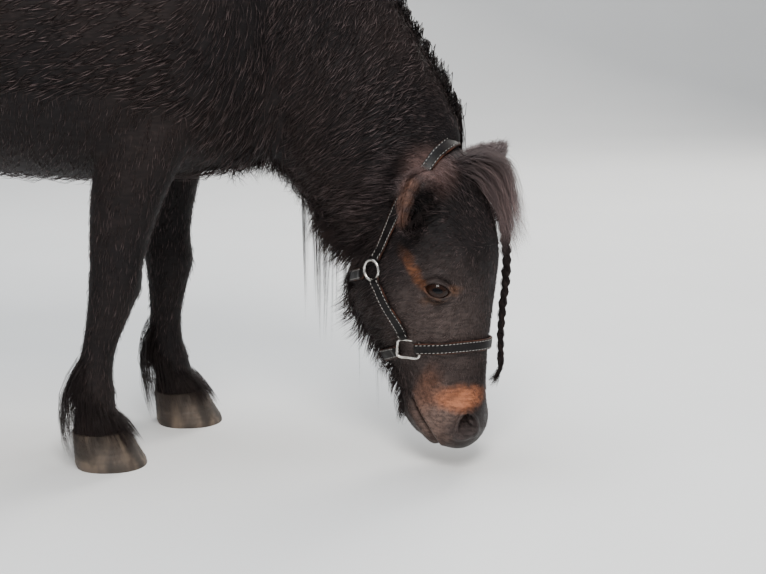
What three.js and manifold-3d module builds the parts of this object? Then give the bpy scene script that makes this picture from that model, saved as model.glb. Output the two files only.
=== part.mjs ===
// A grazing Shetland pony in a leather headcollar, life size, in millimetres.
// +X is forward, +Y the pony's left side and +Z up. The hooves stand on z = 0.
import * as THREE from "three";
import { mergeVertices } from "three/addons/utils/BufferGeometryUtils.js";
import Module from "manifold-3d";

const wasm = await Module();
wasm.setup();

// Driving dimensions
const withersHeight = 884;
const headLength = 386; // from the poll to the lips
const headShare = headLength / 400;
const gap = 0.3; // between two nodes that touch
const sliver = 0.03; // edges shorter than this are closed up
const hoofHeight = 50;
const eyeRadius = 17;
const strapWidth = 17;
const strapThickness = 4;
const strapLift = 1.3; // of a strap off the flesh below it

const vec = (x, y, z) => new THREE.Vector3(x, y, z);
const mix = THREE.MathUtils.lerp;
const clamp = THREE.MathUtils.clamp;
const smooth = THREE.MathUtils.smoothstep;

// Smooth values through keys, each a position followed by its values.
function track(rows) {
  const keys = [...rows].sort((a, b) => a[0] - b[0]);
  const at = keys.map((key) => key[0]);
  const rest = keys.map((key) => key.slice(1));
  const slope = rest.map((row, i) => {
    const a = Math.max(i - 1, 0);
    const b = Math.min(i + 1, rest.length - 1);
    return row.map((v, k) => (rest[b][k] - rest[a][k]) / (at[b] - at[a]));
  });
  return (t) => {
    const p = clamp(t, at[0], at[at.length - 1]);
    const j = clamp(at.findIndex((v) => v > p) - 1, 0, at.length - 2);
    const i = p >= at[at.length - 1] ? at.length - 2 : j;
    const h = at[i + 1] - at[i];
    const s = (p - at[i]) / h;
    return rest[i].map((v, k) => {
      const w = rest[i + 1][k];
      const bow = (1 - s) * slope[i][k] * h * s * (1 - s) - s * slope[i + 1][k] * h * s * (1 - s);
      return v + (w - v) * s * s * (3 - 2 * s) + bow;
    });
  };
}

// The rings of a unit tube, or of a cone that ends in a point, moved by place(t, left, up).
function formed(sides, steps, place, pointed = false) {
  const rough = pointed
    ? new THREE.ConeGeometry(1, 1, sides, steps)
    : new THREE.CylinderGeometry(1, 1, 1, sides, steps);
  rough.deleteAttribute("normal");
  rough.deleteAttribute("uv");
  const form = mergeVertices(rough, 1e-4);
  const position = form.attributes.position;
  for (let i = 0; i < position.count; i++) {
    const across = Math.hypot(position.getX(i), position.getZ(i));
    const left = across < 1e-5 ? 0 : -position.getX(i) / across;
    const up = across < 1e-5 ? 0 : position.getZ(i) / across;
    const point = place(position.getY(i) + 0.5, left, up);
    position.setXYZ(i, point.x, point.y, point.z);
  }
  return form;
}

// A closed loop: the vertices of a ring moved by place(turn, out, over).
function looped(sides, steps, place) {
  const rough = new THREE.TorusGeometry(3, 1, sides, steps);
  rough.deleteAttribute("normal");
  rough.deleteAttribute("uv");
  const form = mergeVertices(rough, 1e-4);
  const position = form.attributes.position;
  for (let i = 0; i < position.count; i++) {
    const turn = Math.atan2(position.getY(i), position.getX(i));
    const out = Math.hypot(position.getX(i), position.getY(i)) - 3;
    const point = place(turn, out, position.getZ(i));
    position.setXYZ(i, point.x, point.y, point.z);
  }
  return form;
}

// Squares off a sine or cosine: power 2 keeps the circle.
const squared = (v, power) => Math.sign(v) * Math.abs(v) ** (2 / power);

// Rings crowd towards both ends of a form by this share.
const eased = (t, share) => mix(t, 0.5 - 0.5 * Math.cos(Math.PI * t), share);

// The sum of round swellings, each [x, y, z, reach, amount], at a point.
function swelling(x, y, z, swells) {
  let sum = 0;
  for (const [cx, cy, cz, reach, amount] of swells) {
    sum += amount * Math.exp(-((x - cx) ** 2 + (y - cy) ** 2 + (z - cz) ** 2) / (reach * reach));
  }
  return sum;
}

// Even random numbers that come out the same every time.
function dice(seed) {
  let state = seed;
  return (low, high) => {
    state = (state * 1664525 + 1013904223) % 4294967296;
    return low + ((high - low) * state) / 4294967296;
  };
}

function solidOf(geometry) {
  const bare = new THREE.BufferGeometry();
  bare.setAttribute("position", geometry.attributes.position.clone());
  bare.setIndex(geometry.index.clone());
  const merged = mergeVertices(bare, 1e-3);
  return new wasm.Manifold(
    new wasm.Mesh({
      numProp: 3,
      vertProperties: merged.attributes.position.array,
      triVerts: new Uint32Array(merged.index.array),
    }),
  );
}

// The largest closed surface of a solid, as geometry, without the slivers that cuts leave.
function geometryOf(solid) {
  const bodies = solid.decompose();
  bodies.sort((a, b) => b.volume() - a.volume());
  const { vertProperties, triVerts } = bodies[0].simplify(sliver).getMesh();
  const geometry = new THREE.BufferGeometry();
  geometry.setAttribute("position", new THREE.BufferAttribute(new Float32Array(vertProperties), 3));
  geometry.setIndex(new THREE.BufferAttribute(new Uint32Array(triVerts), 1));
  return geometry;
}

const joined = (solids) => solids.reduce((all, solid) => all.add(solid));

// Keeps the side of a plane that its normal points to, set back by half the gap.
function beyond(solid, normal, point) {
  const n = normal.clone().normalize();
  return solid.trimByPlane([n.x, n.y, n.z], n.dot(point) + gap / 2);
}

const furry = (colour) => {
  return new THREE.MeshStandardMaterial({ color: colour, roughness: 0.85, metalness: 0 });
};
const materials = {
  coat: furry(0x241d1c),
  hair: furry(0x1a1413),
  horn: new THREE.MeshStandardMaterial({ color: 0x6b5c4c, roughness: 0.6, metalness: 0 }),
  eye: new THREE.MeshStandardMaterial({ color: 0x120c0b, roughness: 0.08, metalness: 0 }),
  leather: new THREE.MeshStandardMaterial({ color: 0x17130f, roughness: 0.5, metalness: 0 }),
  steel: new THREE.MeshStandardMaterial({ color: 0xb9b6ae, roughness: 0.3, metalness: 1 }),
};

const pony = new THREE.Group();
pony.name = "shetland_pony";

function addNode(name, solid, material) {
  const mesh = new THREE.Mesh(geometryOf(solid), material);
  mesh.name = name;
  pony.add(mesh);
}

// Torso: x, top, bottom, half width
const torsoLine = track([
  [-584, 728, 668, 20],
  [-574, 768, 620, 66],
  [-550, 800, 572, 108],
  [-505, 834, 530, 146],
  [-440, 866, 498, 176],
  [-370, 883, 468, 190],
  [-290, 880, 440, 194],
  [-210, 868, 420, 194],
  [-130, 857, 402, 200],
  [-50, 851, 390, 204],
  [60, 860, 382, 198],
  [120, 875, 382, 188],
  [165, withersHeight, 384, 178],
  [215, 874, 388, 162],
  [260, 843, 394, 144],
  [300, 790, 404, 120],
  [330, 720, 426, 88],
  [348, 650, 462, 50],
  [355, 612, 500, 22],
]);
const torsoSwells = [
  [205, 170, 590, 95, 16],
  [205, -170, 590, 95, 16],
  [-360, 190, 640, 120, 20],
  [-360, -190, 640, 120, 20],
  [-165, 195, 640, 80, -14],
  [-165, -195, 640, 80, -14],
  [60, 190, 780, 80, -16],
  [60, -190, 780, 80, -16],
  [-575, 0, 735, 60, -10],
];
function torsoForm(extra) {
  return formed(22, 14, (t, left, up) => {
    const x = mix(-584, 355, eased(t, 0.55));
    const [top, bottom, half] = torsoLine(x);
    const z = (top + bottom) / 2 + (squared(up, 2.15) * (top - bottom)) / 2;
    const breast = 0.34 * smooth(x, 150, 340) * Math.max(0, -up) ** 1.5;
    const lean = up > 0 ? 1 - 0.16 * up * up : 1 - breast;
    const y = squared(left, 2.15) * half * lean;
    const swell = swelling(x, y, z, torsoSwells) + extra;
    const end = t < 0.001 ? -extra : t > 0.999 ? extra : 0;
    return vec(x + end, y + left * swell, z + up * swell);
  });
}

// Neck: share of the way, crest x and z, underside x and z, sideways shift, half width
const neckLine = track([
  [0, 150, 870, 226, 430, 0, 124],
  [0.2, 250, 842, 284, 404, 0, 130],
  [0.4, 338, 780, 320, 390, -6, 118],
  [0.6, 416, 696, 343, 368, -22, 103],
  [0.78, 480, 602, 360, 346, -46, 88],
  [0.9, 526, 520, 374, 324, -68, 79],
  [1, 552, 452, 390, 302, -88, 71],
  [1.1, 540, 414, 416, 292, -96, 54],
]);
function neckPoint(t, left, up, extra) {
  const [cx, cz, ux, uz, y, half] = neckLine(t);
  const [cx2, cz2, ux2, uz2, y2] = neckLine(t + 0.01);
  const middle = vec((cx + ux) / 2, y, (cz + uz) / 2);
  const along = vec((cx2 + ux2) / 2, y2, (cz2 + uz2) / 2).sub(middle).normalize();
  const rise = vec(cx - ux, 0, cz - uz);
  const depth = rise.length() / 2;
  rise.normalize();
  const side = rise.clone().cross(along).normalize();
  const slim = up > 0 ? 1 - 0.4 * up ** 1.5 : 1 - 0.1 * up * up;
  return middle
    .addScaledVector(rise, squared(up, 2.1) * depth + up * extra)
    .addScaledVector(side, squared(left, 2.1) * half * slim + left * extra);
}
const neckForm = (extra) => {
  return formed(20, 12, (t, left, up) => neckPoint(t * 1.09, left, up, extra));
};

// The head hangs from the poll: u runs down to the lips, f to the front, s to the left.
const poll = vec(521, -98, 408);
const headDown = vec(0.05, -0.13, -0.988).normalize();
const headFront = vec(Math.cos(0.4), -Math.sin(0.4), 0).projectOnPlane(headDown).normalize();
const headLeft = headFront.clone().cross(headDown);
const headAt = (u, f, s) => {
  return poll
    .clone()
    .addScaledVector(headDown, u * headShare)
    .addScaledVector(headFront, f)
    .addScaledVector(headLeft, s);
};

// Head: u, front, jaw, half width, narrowing of the nose, narrowing of the jaw
const headLine = track([
  [-24, 8, -34, 24, 0, 0],
  [-12, 30, -46, 42, 0, 0],
  [10, 46, -58, 56, 0, 0.05],
  [35, 58, -74, 66, 0, 0.1],
  [65, 66, -94, 74, 0, 0.15],
  [95, 71, -112, 81, 0, 0.2],
  [125, 72, -126, 86, 0, 0.26],
  [150, 69, -134, 87, 0.02, 0.3],
  [175, 65, -134, 83, 0.08, 0.3],
  [200, 61, -127, 74, 0.16, 0.28],
  [225, 57, -115, 65, 0.22, 0.26],
  [250, 53, -101, 57, 0.26, 0.24],
  [280, 49, -85, 50, 0.26, 0.2],
  [310, 46, -73, 46, 0.2, 0.14],
  [335, 45, -66, 46, 0.12, 0.08],
  [352, 45, -61, 48, 0.06, 0.1],
  [368, 43, -52, 47, 0.04, 0.12],
  [381, 38, -41, 42, 0, 0.1],
  [391, 30, -27, 33, 0, 0],
  [400, 16, -8, 15, 0, 0],
]);
// The same list serves both sides: s, f, u, reach, amount
const headSwells = [
  [86, 46, 132, 24, 10],
  [66, -66, 170, 52, 7],
  [42, 26, 352, 20, 8],
  [60, 2, 226, 26, 5],
  [66, 56, 78, 22, -6],
  [50, -26, 290, 36, -4],
  [0, -58, 345, 20, 6],
  [26, 4, 384, 16, 3],
];
function headLocal(u, left, up, extra) {
  const [front, jaw, half, nose, chin] = headLine(u);
  const slim = up > 0.1 ? 1 - nose * (up - 0.1) * 1.4 : 1 - chin * ((0.1 - up) / 1.1) ** 2 * 1.5;
  const f = (front + jaw) / 2 + (squared(up, 2.3) * (front - jaw)) / 2;
  const s = squared(left, 2.3) * half * slim;
  const swell = swelling(Math.abs(s), f, u, headSwells) + extra;
  return [f + up * swell, s + left * swell];
}
function headPoint(u, left, up, extra = 0) {
  const [f, s] = headLocal(u, left, up, extra);
  return headAt(u, f, s);
}
const headForm = (extra) => {
  return formed(24, 22, (t, left, up) => {
    const u = mix(-24, 400, eased(t, 0.5));
    const end = t < 0.001 ? -extra : t > 0.999 ? extra : 0;
    return headPoint(u, left, up, extra).addScaledVector(headDown, end);
  });
};

// Legs: z, x, half length, half width
const foreLine = track([
  [570, 34, 52, 22],
  [510, 26, 66, 40],
  [455, 14, 66, 50],
  [400, 4, 57, 47],
  [330, 0, 45, 39],
  [280, 2, 38, 35],
  [248, 6, 38, 36],
  [215, 4, 32, 31],
  [165, 0, 26, 24],
  [125, 0, 28, 26],
  [105, 3, 32, 29],
  [78, 11, 30, 28],
  [hoofHeight + gap, 19, 38, 34],
]);
const hindLine = track([
  [740, 40, 84, 34],
  [670, 36, 112, 56],
  [600, 26, 128, 69],
  [520, 12, 116, 70],
  [455, -2, 88, 60],
  [400, -26, 60, 47],
  [352, -46, 46, 38],
  [315, -46, 40, 34],
  [265, -34, 30, 27],
  [185, -16, 27, 25],
  [132, -6, 31, 28],
  [108, 0, 34, 30],
  [80, 9, 31, 29],
  [hoofHeight + gap, 18, 38, 34],
]);
// Name, profile, x and y at the floor, x and y at the top
const legs = [
  ["front_left", foreLine, 136, 86, 150, 104],
  ["front_right", foreLine, 34, -94, 160, -104],
  ["hind_left", hindLine, -462, 92, -452, 102],
  ["hind_right", hindLine, -392, -96, -446, -102],
];
function legForm(line, foot, top, extra) {
  const high = line === foreLine ? 570 : 740;
  return formed(10, 13, (t, left, up) => {
    const z = mix(high, hoofHeight + gap, t ** 0.86);
    const [shift, long, wide] = line(z);
    const rise = clamp((z - 60) / 560, 0, 1);
    return vec(
      mix(foot[0], top[0], rise) + shift + squared(up, 2.1) * (long + extra),
      mix(foot[1], top[1], smooth(z, 100, 620)) + squared(left, 2.1) * (wide + extra),
      z,
    );
  });
}
// The plane that parts a leg from the trunk slopes up and out.
function legPlane(name, y) {
  const fore = name.startsWith("front");
  const side = Math.sign(y);
  const normal = fore ? vec(0, 0.9 * side, -1) : vec(0, 0.5 * side, -1);
  const point = fore ? vec(0, 45 * side, 398) : vec(0, 40 * side, 445);
  return [normal, point];
}

function fleshForm(extra) {
  const parts = [torsoForm(extra), neckForm(extra), headForm(extra)].map(solidOf);
  for (const [name, line, x, y, topX, topY] of legs) {
    const [normal, point] = legPlane(name, y);
    const leg = solidOf(legForm(line, [x, y], [topX, topY], extra));
    parts.push(beyond(leg, normal.clone().negate(), point));
  }
  return joined(parts);
}
const flesh = fleshForm(0);


// The planes that part the neck from the trunk and the head from the neck
const neckRoot = [vec(450, 0, 62), vec(268, 0, 850)];
const headRoot = [vec(206, 0, -142), vec(518, 0, 524)];
const turned = ([normal, point]) => [normal.clone().negate(), point];

const onTrunkSide = (solid) => beyond(solid, ...turned(neckRoot));
const onNeckSide = (solid) => beyond(beyond(solid, ...neckRoot), ...turned(headRoot));
const onHeadSide = (solid) => beyond(solid, ...headRoot);
const grownFlesh = fleshForm(0.4);

// Where a line towards the inside meets the flesh
const fleshMesh = new THREE.Mesh(
  geometryOf(flesh),
  new THREE.MeshBasicMaterial({ side: THREE.DoubleSide }),
);
const caster = new THREE.Raycaster();
function onFlesh(outside, inside) {
  caster.set(outside, inside.clone().sub(outside).normalize());
  const hits = caster.intersectObject(fleshMesh);
  return hits.length > 0 ? hits[0].point : null;
}

// A point of the head's surface and the way out from it, near a place given as u, f, s
function onHead(u, f, s) {
  const inside = headAt(Math.max(u, 16), clamp(f, -50, 5), 0);
  const out = headAt(u, f, s).sub(inside).normalize();
  const at = onFlesh(inside.clone().addScaledVector(out, 400), inside);
  return { at, out };
}

// A run of points along the head through rough places [u, f, s]
function runOnHead(places, steps) {
  const rough = new THREE.CatmullRomCurve3(places.map((place) => vec(...place)), false, "centripetal");
  const run = rough.getSpacedPoints(steps).map((place) => onHead(place.x, place.y, place.z));
  for (let pass = 0; pass < 3; pass++) {
    const before = run.map((knot) => knot.at.clone());
    for (let i = 1; i < steps; i++) {
      const even = before[i - 1].clone().add(before[i + 1]).multiplyScalar(0.5);
      run[i].at.lerp(even, 0.5);
    }
  }
  return run;
}

// A flat strap that lies on the head along a run; extra grows it all round to clear hair from it.
function strapForm(run, width, thickness, extra = 0) {
  const curve = new THREE.CatmullRomCurve3(run.map((knot) => knot.at), false, "centripetal");
  const last = run.length - 1;
  const length = curve.getLength();
  const rows = run.map((knot, i) => {
    const ahead = run[Math.min(i + 1, last)].at.clone().sub(run[Math.max(i - 1, 0)].at).normalize();
    const out = knot.out.clone().projectOnPlane(ahead).normalize();
    const side = out.clone().cross(ahead);
    const heights = [-1, 0, 1].map((across) => {
      const above = knot.at.clone().addScaledVector(side, (across * width) / 2).addScaledVector(out, 40);
      const hit = onFlesh(above, above.clone().addScaledVector(out, -80));
      return hit === null ? 0 : clamp(40 - above.distanceTo(hit), -9, 9);
    });
    const bulge = Math.max(0, heights[1] - (heights[0] + heights[2]) / 2);
    return { ahead, out, side, heights: heights.map((height) => height + bulge + strapLift) };
  });
  return formed(4, last, (t, left, up) => {
    const i = Math.round(t * last);
    const { ahead, out, side, heights } = rows[i];
    const across = left + up;
    const over = up - left;
    const middle = across === 0 && over === 0;
    const end = Math.min(t, 1 - t) * length;
    const thick = thickness + (end < 11 ? 3 : 0);
    const rise = heights[Math.round(across) + 1] + (over > 0 ? thick + extra * 14 : -extra);
    const slide = t < 0.001 ? -extra : t > 0.999 ? extra : 0;
    return run[i].at
      .clone()
      .addScaledVector(side, across * (width / 2 + extra))
      .addScaledVector(out, middle ? heights[1] + thick / 2 : rise)
      .addScaledVector(ahead, slide);
  });
}

// A metal ring that lies on the head: half sizes, squareness and the way its length points
function ringForm(knot, toward, halfLong, halfWide, power, tube, extra = 0, lift = 3.4) {
  const long = toward.clone().projectOnPlane(knot.out).normalize();
  const wide = knot.out.clone().cross(long);
  return looped(5, 16, (turn, out, over) => {
    const c = squared(Math.cos(turn), power) * halfLong + Math.cos(turn) * out * (tube + extra);
    const s = squared(Math.sin(turn), power) * halfWide + Math.sin(turn) * out * (tube + extra);
    return knot.at
      .clone()
      .addScaledVector(long, c)
      .addScaledVector(wide, s)
      .addScaledVector(knot.out, lift + over * (tube + extra));
  });
}

// Headcollar, each strap along rough places on the head
const cheek = [142, -84];
const nose = [249, -44];
const mirrored = (places) => places.map(([u, f, s]) => [u, f, -s]);
const cheekRun = [
  [153, -79, -60],
  [195, -64, -60],
  [234, -49, -50],
];
const straps = {
  strap_cheek_right: runOnHead(cheekRun, 6),
  strap_cheek_left: runOnHead(mirrored(cheekRun), 6),
  strap_crown: runOnHead(
    [
      [130, -80, -60],
      [85, -62, -60],
      [35, -42, -55],
      [-8, -10, -36],
      [-32, 16, 0],
      [-8, -10, 36],
      [35, -42, 55],
      [85, -62, 60],
      [130, -80, 60],
    ],
    20,
  ),
  strap_throat: runOnHead(
    [
      [146, -95, -56],
      [152, -125, -24],
      [154, -134, 0],
      [152, -125, 24],
      [146, -95, 56],
    ],
    12,
  ),
  strap_nose: runOnHead(
    [
      [249, -36, -54],
      [250, 0, -56],
      [251, 40, -34],
      [252, 56, 0],
      [251, 40, 34],
      [250, 0, 56],
      [249, -36, 54],
    ],
    16,
  ),
  strap_chin: runOnHead(
    [
      [252, -56, -48],
      [262, -84, -26],
      [266, -94, 0],
      [262, -84, 26],
      [252, -56, 48],
    ],
    10,
  ),
};
const rings = {};
for (const [side, s] of [
  ["right", -1],
  ["left", 1],
]) {
  rings[`ring_cheek_${side}`] = [onHead(cheek[0], cheek[1], s * 60), headDown, 13, 11, 2, 2.3];
  rings[`ring_nose_${side}`] = [onHead(nose[0], nose[1], s * 52), headFront, 15.5, 12, 7, 2.2];
}
const strapSolid = (name, extra = 0) => {
  const width = name === "strap_throat" ? strapWidth - 3 : strapWidth;
  return solidOf(strapForm(straps[name], width, strapThickness, extra));
};
const ringSolid = (name, extra = 0) => {
  const [knot, toward, long, wide, power, tube] = rings[name];
  return solidOf(ringForm(knot, toward, long, wide, power, tube, extra));
};
const grownRings = joined(Object.keys(rings).map((name) => ringSolid(name, gap)));
const beds = joined(Object.keys(straps).map((name) => strapSolid(name, gap))).add(grownRings);

// Eyes: an eyeball in a socket under two lids that leave an almond open
function eyeParts(s) {
  const middle = headAt(166, 5, s * 73);
  const out = headLeft.clone().multiplyScalar(s).addScaledVector(headFront, 0.28).normalize();
  const along = headFront.clone().addScaledVector(headDown, 0.16).projectOnPlane(out).normalize();
  const over = along.clone().cross(out);
  if (over.dot(headDown) > 0) {
    over.negate();
  }
  const side = over.clone().cross(out);
  const ball = (radius) => {
    const form = new THREE.SphereGeometry(radius, 10, 7);
    form.translate(middle.x, middle.y, middle.z);
    return solidOf(form);
  };
  const almond = formed(14, 1, (t, left, up) => {
    const high = up > 0 ? 7.5 : 8.5;
    return middle
      .clone()
      .addScaledVector(out, mix(4, 40, t))
      .addScaledVector(side, left * 15)
      .addScaledVector(over, squared(up, 1.5) * high);
  });
  const lids = ball(eyeRadius + 3.4).subtract(solidOf(almond));
  return { ball: ball(eyeRadius), socket: ball(eyeRadius + gap), lids };
}
const eyes = { right: eyeParts(-1), left: eyeParts(1) };

// Ears: a leaf form along an axis, hollowed on the side that faces the opening
const earLine = track([
  [0, 19, 19],
  [0.15, 25, 21],
  [0.4, 31, 19],
  [0.65, 27, 13],
  [0.85, 16, 8],
  [0.95, 8, 4.5],
  [1, 2, 2],
]);
function earForm(base, axis, opening, hollow) {
  const length = axis.length();
  const along = axis.clone().normalize();
  const front = opening.clone().projectOnPlane(along).normalize();
  const side = front.clone().cross(along);
  return formed(9, hollow ? 5 : 7, (t, left, up) => {
    const share = hollow ? mix(0.16, 0.93, t) : t;
    const [wide, deep] = earLine(share);
    const thin = hollow ? 3.6 : 0;
    const bow = 9 * share * share;
    return base
      .clone()
      .addScaledVector(along, share * length)
      .addScaledVector(side, left * Math.max(wide - thin, 1))
      .addScaledVector(front, up * Math.max(deep - thin, 1) + bow + (hollow ? deep * 0.62 + 1 : 0));
  });
}
const ears = {
  right: [headAt(24, 2, -42), vec(-56, -68, -46), vec(0.76, -0.62, 0.06)],
  left: [headAt(22, 22, 32), vec(64, 78, 40), vec(0.5, 0.1, -0.8)],
};

// A flat lock that tapers to a point along places in space, its broad side facing one way
function lockForm(places, width, thickness, face, twist = 0, steps = 4) {
  const curve = new THREE.CatmullRomCurve3(places, false, "centripetal");
  return formed(
    4,
    steps,
    (t, left, up) => {
      const at = curve.getPoint(t);
      const along = curve.getTangent(t);
      const out = face.clone().projectOnPlane(along).normalize().applyAxisAngle(along, twist * t);
      const side = out.clone().cross(along);
      const body = mix(0.62, 1, smooth(t, 0, 0.3)) * (1 - 0.86 * t ** 1.7);
      return at
        .addScaledVector(side, left * width * body)
        .addScaledVector(out, up * thickness * body);
    },
    true,
  );
}

// Nostrils and the line of the mouth, cut into the muzzle
function nostrilForm(s) {
  const { at, out } = onHead(357, 27, s * 38);
  const inward = out.clone().negate().addScaledVector(headDown, -0.5).normalize();
  const over = headDown.clone().negate().projectOnPlane(inward).normalize();
  const side = over.clone().cross(inward);
  return formed(10, 3, (t, left, up) => {
    const share = mix(1.15, 0.45, t);
    return at
      .clone()
      .addScaledVector(inward, mix(-9, 24, t))
      .addScaledVector(side, left * 11 * share)
      .addScaledVector(over, up * 8.5 * share + 7 * t);
  });
}
function mouthForm() {
  const half = [
    [330, -46, -50],
    [346, -43, -50],
    [362, -38, -48],
    [376, -32, -40],
    [386, -27, -24],
    [389, -25, 0],
  ];
  const places = [...half, ...mirrored(half.slice(0, 5)).reverse()];
  const run = runOnHead(places, 12);
  const curve = new THREE.CatmullRomCurve3(run.map((knot) => knot.at), false, "centripetal");
  return formed(4, 12, (t, left, up) => {
    const along = curve.getTangent(t);
    const out = run[Math.round(t * 12)].out.clone().projectOnPlane(along).normalize();
    const side = out.clone().cross(along);
    return curve
      .getPoint(t)
      .addScaledVector(side, left * 1.8)
      .addScaledVector(out, up * 5.5);
  });
}

// Long hair is built of flat locks, laid over one another and sunk into what they grow from.
const roll = dice(20);
const spaced = (count, make) => Array.from({ length: count }, (_, i) => make((i + 0.5) / count, i));

// A lock of mane: up from the crest, over to the left and down the side of the neck
function maneLock(share, length, width, thickness, clear) {
  const [cx, cz, ux, uz, y] = neckLine(share);
  const crest = vec(cx, y, cz);
  const inward = vec(ux - cx, 0, uz - cz).normalize();
  const over = crest.clone().addScaledVector(inward, roll(-13, -5));
  over.add(vec(roll(-6, 6), roll(6, 20), 0));
  const places = [crest.clone().addScaledVector(inward, 24).add(vec(0, roll(-6, 8), 0)), over];
  const steps = 5;
  const drift = 26 * Math.sin(share * 21) + roll(-8, 8);
  let out = over.y;
  for (let k = 1; k <= steps; k++) {
    const z = over.z - (length * k) / steps;
    const x = over.x + drift * (k / steps) ** 1.4 + roll(-7, 7);
    const hit = onFlesh(vec(x, 420, z), vec(x, -40, z));
    const covers = hit !== null && hit.y > out - 60;
    out = covers ? Math.max(hit.y + clear, out - 10) : out - roll(0, 7);
    places.push(vec(x, out, z));
  }
  return lockForm(places, width, thickness, vec(0.1, 1, 0.3), roll(-0.9, 0.9), 4);
}
// Locks lie in three layers, so that they overlap without running through each other.
const layer = (i) => [4, 16, 10][i % 3];
const maneNeck = spaced(20, (t, i) => {
  const share = mix(0.24, 0.85, t);
  const length = mix(360, 190, t) * roll(0.72, 1.12);
  return i % 6 === 3
    ? maneLock(share, roll(440, 540), roll(7, 10), 3.4, layer(i))
    : maneLock(share, length, roll(16, 23), roll(3.4, 4.4), layer(i));
});
const maneWithers = spaced(4, (t, i) => {
  return maneLock(mix(0.06, 0.17, t), roll(120, 190), roll(13, 18), 4, layer(i));
});
const manePoll = spaced(3, (t, i) => {
  return maneLock(mix(0.9, 0.96, t), roll(90, 150), roll(10, 14), 3.6, layer(i));
});

// Short stiff hair that stands along the crest on its right side
const bristles = spaced(8, (t) => {
  const [cx, cz, ux, uz, y] = neckLine(mix(0.28, 0.84, t));
  const rise = vec(cx - ux, 0, cz - uz).normalize();
  const root = vec(cx, y - roll(4, 12), cz);
  const places = [
    root.clone().addScaledVector(rise, -14),
    root.clone().addScaledVector(rise, 8),
    root.clone().addScaledVector(rise, roll(16, 26)).add(vec(roll(4, 16), -roll(0, 6), -roll(2, 14))),
  ];
  return lockForm(places, roll(8, 12), 3.4, vec(0, 1, 0), roll(-0.5, 0.5), 3);
});

// A lock of forelock: out between the ears, forward and over to the left of the face
function forelockLock(spread, length, width, thickness, up) {
  const places = [
    headAt(14, 14, spread * 0.7),
    headAt(-4 - up * 0.5, 54 + up * 0.6, spread + 3),
    headAt(16 - up, 80 + up, spread * 0.9 + 18),
    headAt(18 + length * 0.5, 90 + up, spread * 0.9 + roll(26, 40)),
    headAt(18 + length, 84 + up + roll(-4, 18), spread + roll(34, 60)),
  ];
  const face = headFront.clone().addScaledVector(headDown, -0.5);
  return lockForm(places, width, thickness, face, roll(-0.5, 0.5), 3);
}
const forelock = spaced(8, (t, i) => {
  return forelockLock(mix(-26, 22, t), roll(58, 104), roll(9, 13), 3, [0, 14, 7][i % 3]);
});

// The plait hangs from the forelock before the left side of the face, three strands wound in turn.
const plaitLine = new THREE.CatmullRomCurve3([
  vec(598, -113, 366),
  vec(605, -110, 330),
  vec(609, -108, 283),
  vec(608, -108, 245),
  vec(603, -108, 205),
  vec(601, -107, 170),
  vec(603, -106, 140),
]);
const plait = spaced(3, (share, i) => {
  const phase = share * Math.PI * 2;
  return formed(4, 13 + i, (t, left, up) => {
    const at = plaitLine.getPoint(t);
    const along = plaitLine.getTangent(t);
    const flat = vec(0.75, -0.65, 0).projectOnPlane(along).normalize();
    const deep = along.clone().cross(flat);
    const turn = phase + t * Math.PI * 5.4;
    const size = mix(1, 0.62, t);
    return at
      .addScaledVector(flat, (Math.sin(turn) * 4.6 + left * 4.7) * size)
      .addScaledVector(deep, (Math.sin(turn * 2) * 2.6 + up * 3.9) * size);
  });
});
plait.push(
  lockForm(
    [headAt(12, 28, 16), headAt(0, 62, 22), vec(594, -116, 372), vec(603, -110, 340)],
    9,
    6,
    headFront,
    0,
    3,
  ),
  lockForm(
    [vec(602, -107, 152), vec(603, -106, 134), vec(598, -106, 122), vec(589, -106, 114)],
    6,
    4,
    vec(0, 1, 0),
    0.4,
    3,
  ),
);

// Tail: the dock runs into a core of hair, and locks over it reach the length of the tail.
const tailLine = new THREE.CatmullRomCurve3([
  vec(-530, 0, 792),
  vec(-585, 0, 782),
  vec(-612, 0, 735),
  vec(-622, 0, 650),
  vec(-622, 0, 560),
  vec(-616, 0, 470),
]);
const tailWidth = (t) => mix(24, 40, smooth(t, 0.15, 0.7)) * (1 - 0.6 * smooth(t, 0.85, 1));
const tailCore = formed(8, 7, (t, left, up) => {
  const along = tailLine.getTangent(t);
  const side = vec(0, 1, 0);
  const wide = tailWidth(t);
  return tailLine
    .getPoint(t)
    .addScaledVector(side, left * wide)
    .addScaledVector(along.clone().cross(side), up * Math.min(wide, 25));
});
function tailLock(start, turn, length, up) {
  const at = tailLine.getPoint(start);
  const out = vec(-Math.cos(turn), Math.sin(turn), 0);
  const reach = (more) => vec(out.x * (18 + more), out.y * (tailWidth(start) - 6 + more), 0);
  const flare = roll(-4, 12);
  const places = [
    at.clone().add(reach(-12)).add(vec(0, 0, 14)),
    at.clone().add(reach(4 + up)).add(vec(0, 0, -24)),
    at.clone().add(reach(5 + up + flare * 0.5)).add(vec(0, 0, -length * 0.38)),
    at.clone().add(reach(2 + up + flare)).add(vec(0, roll(-5, 5), -length * 0.72)),
    at.clone().add(reach(flare + up - 6)).add(vec(roll(-8, 4), roll(-12, 12), -length)),
  ];
  return lockForm(places, roll(12, 18), roll(3.4, 4.4), out, roll(-0.4, 0.4), 4);
}
const tailLocks = spaced(19, (t, i) => {
  const start = mix(0.3, 0.94, (i * 0.618) % 1);
  const turn = mix(-2.2, 2.2, t);
  const floor = roll(105, 240);
  return tailLock(start, turn, tailLine.getPoint(start).z - floor, [0, 12, 6][i % 3]);
});

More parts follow.
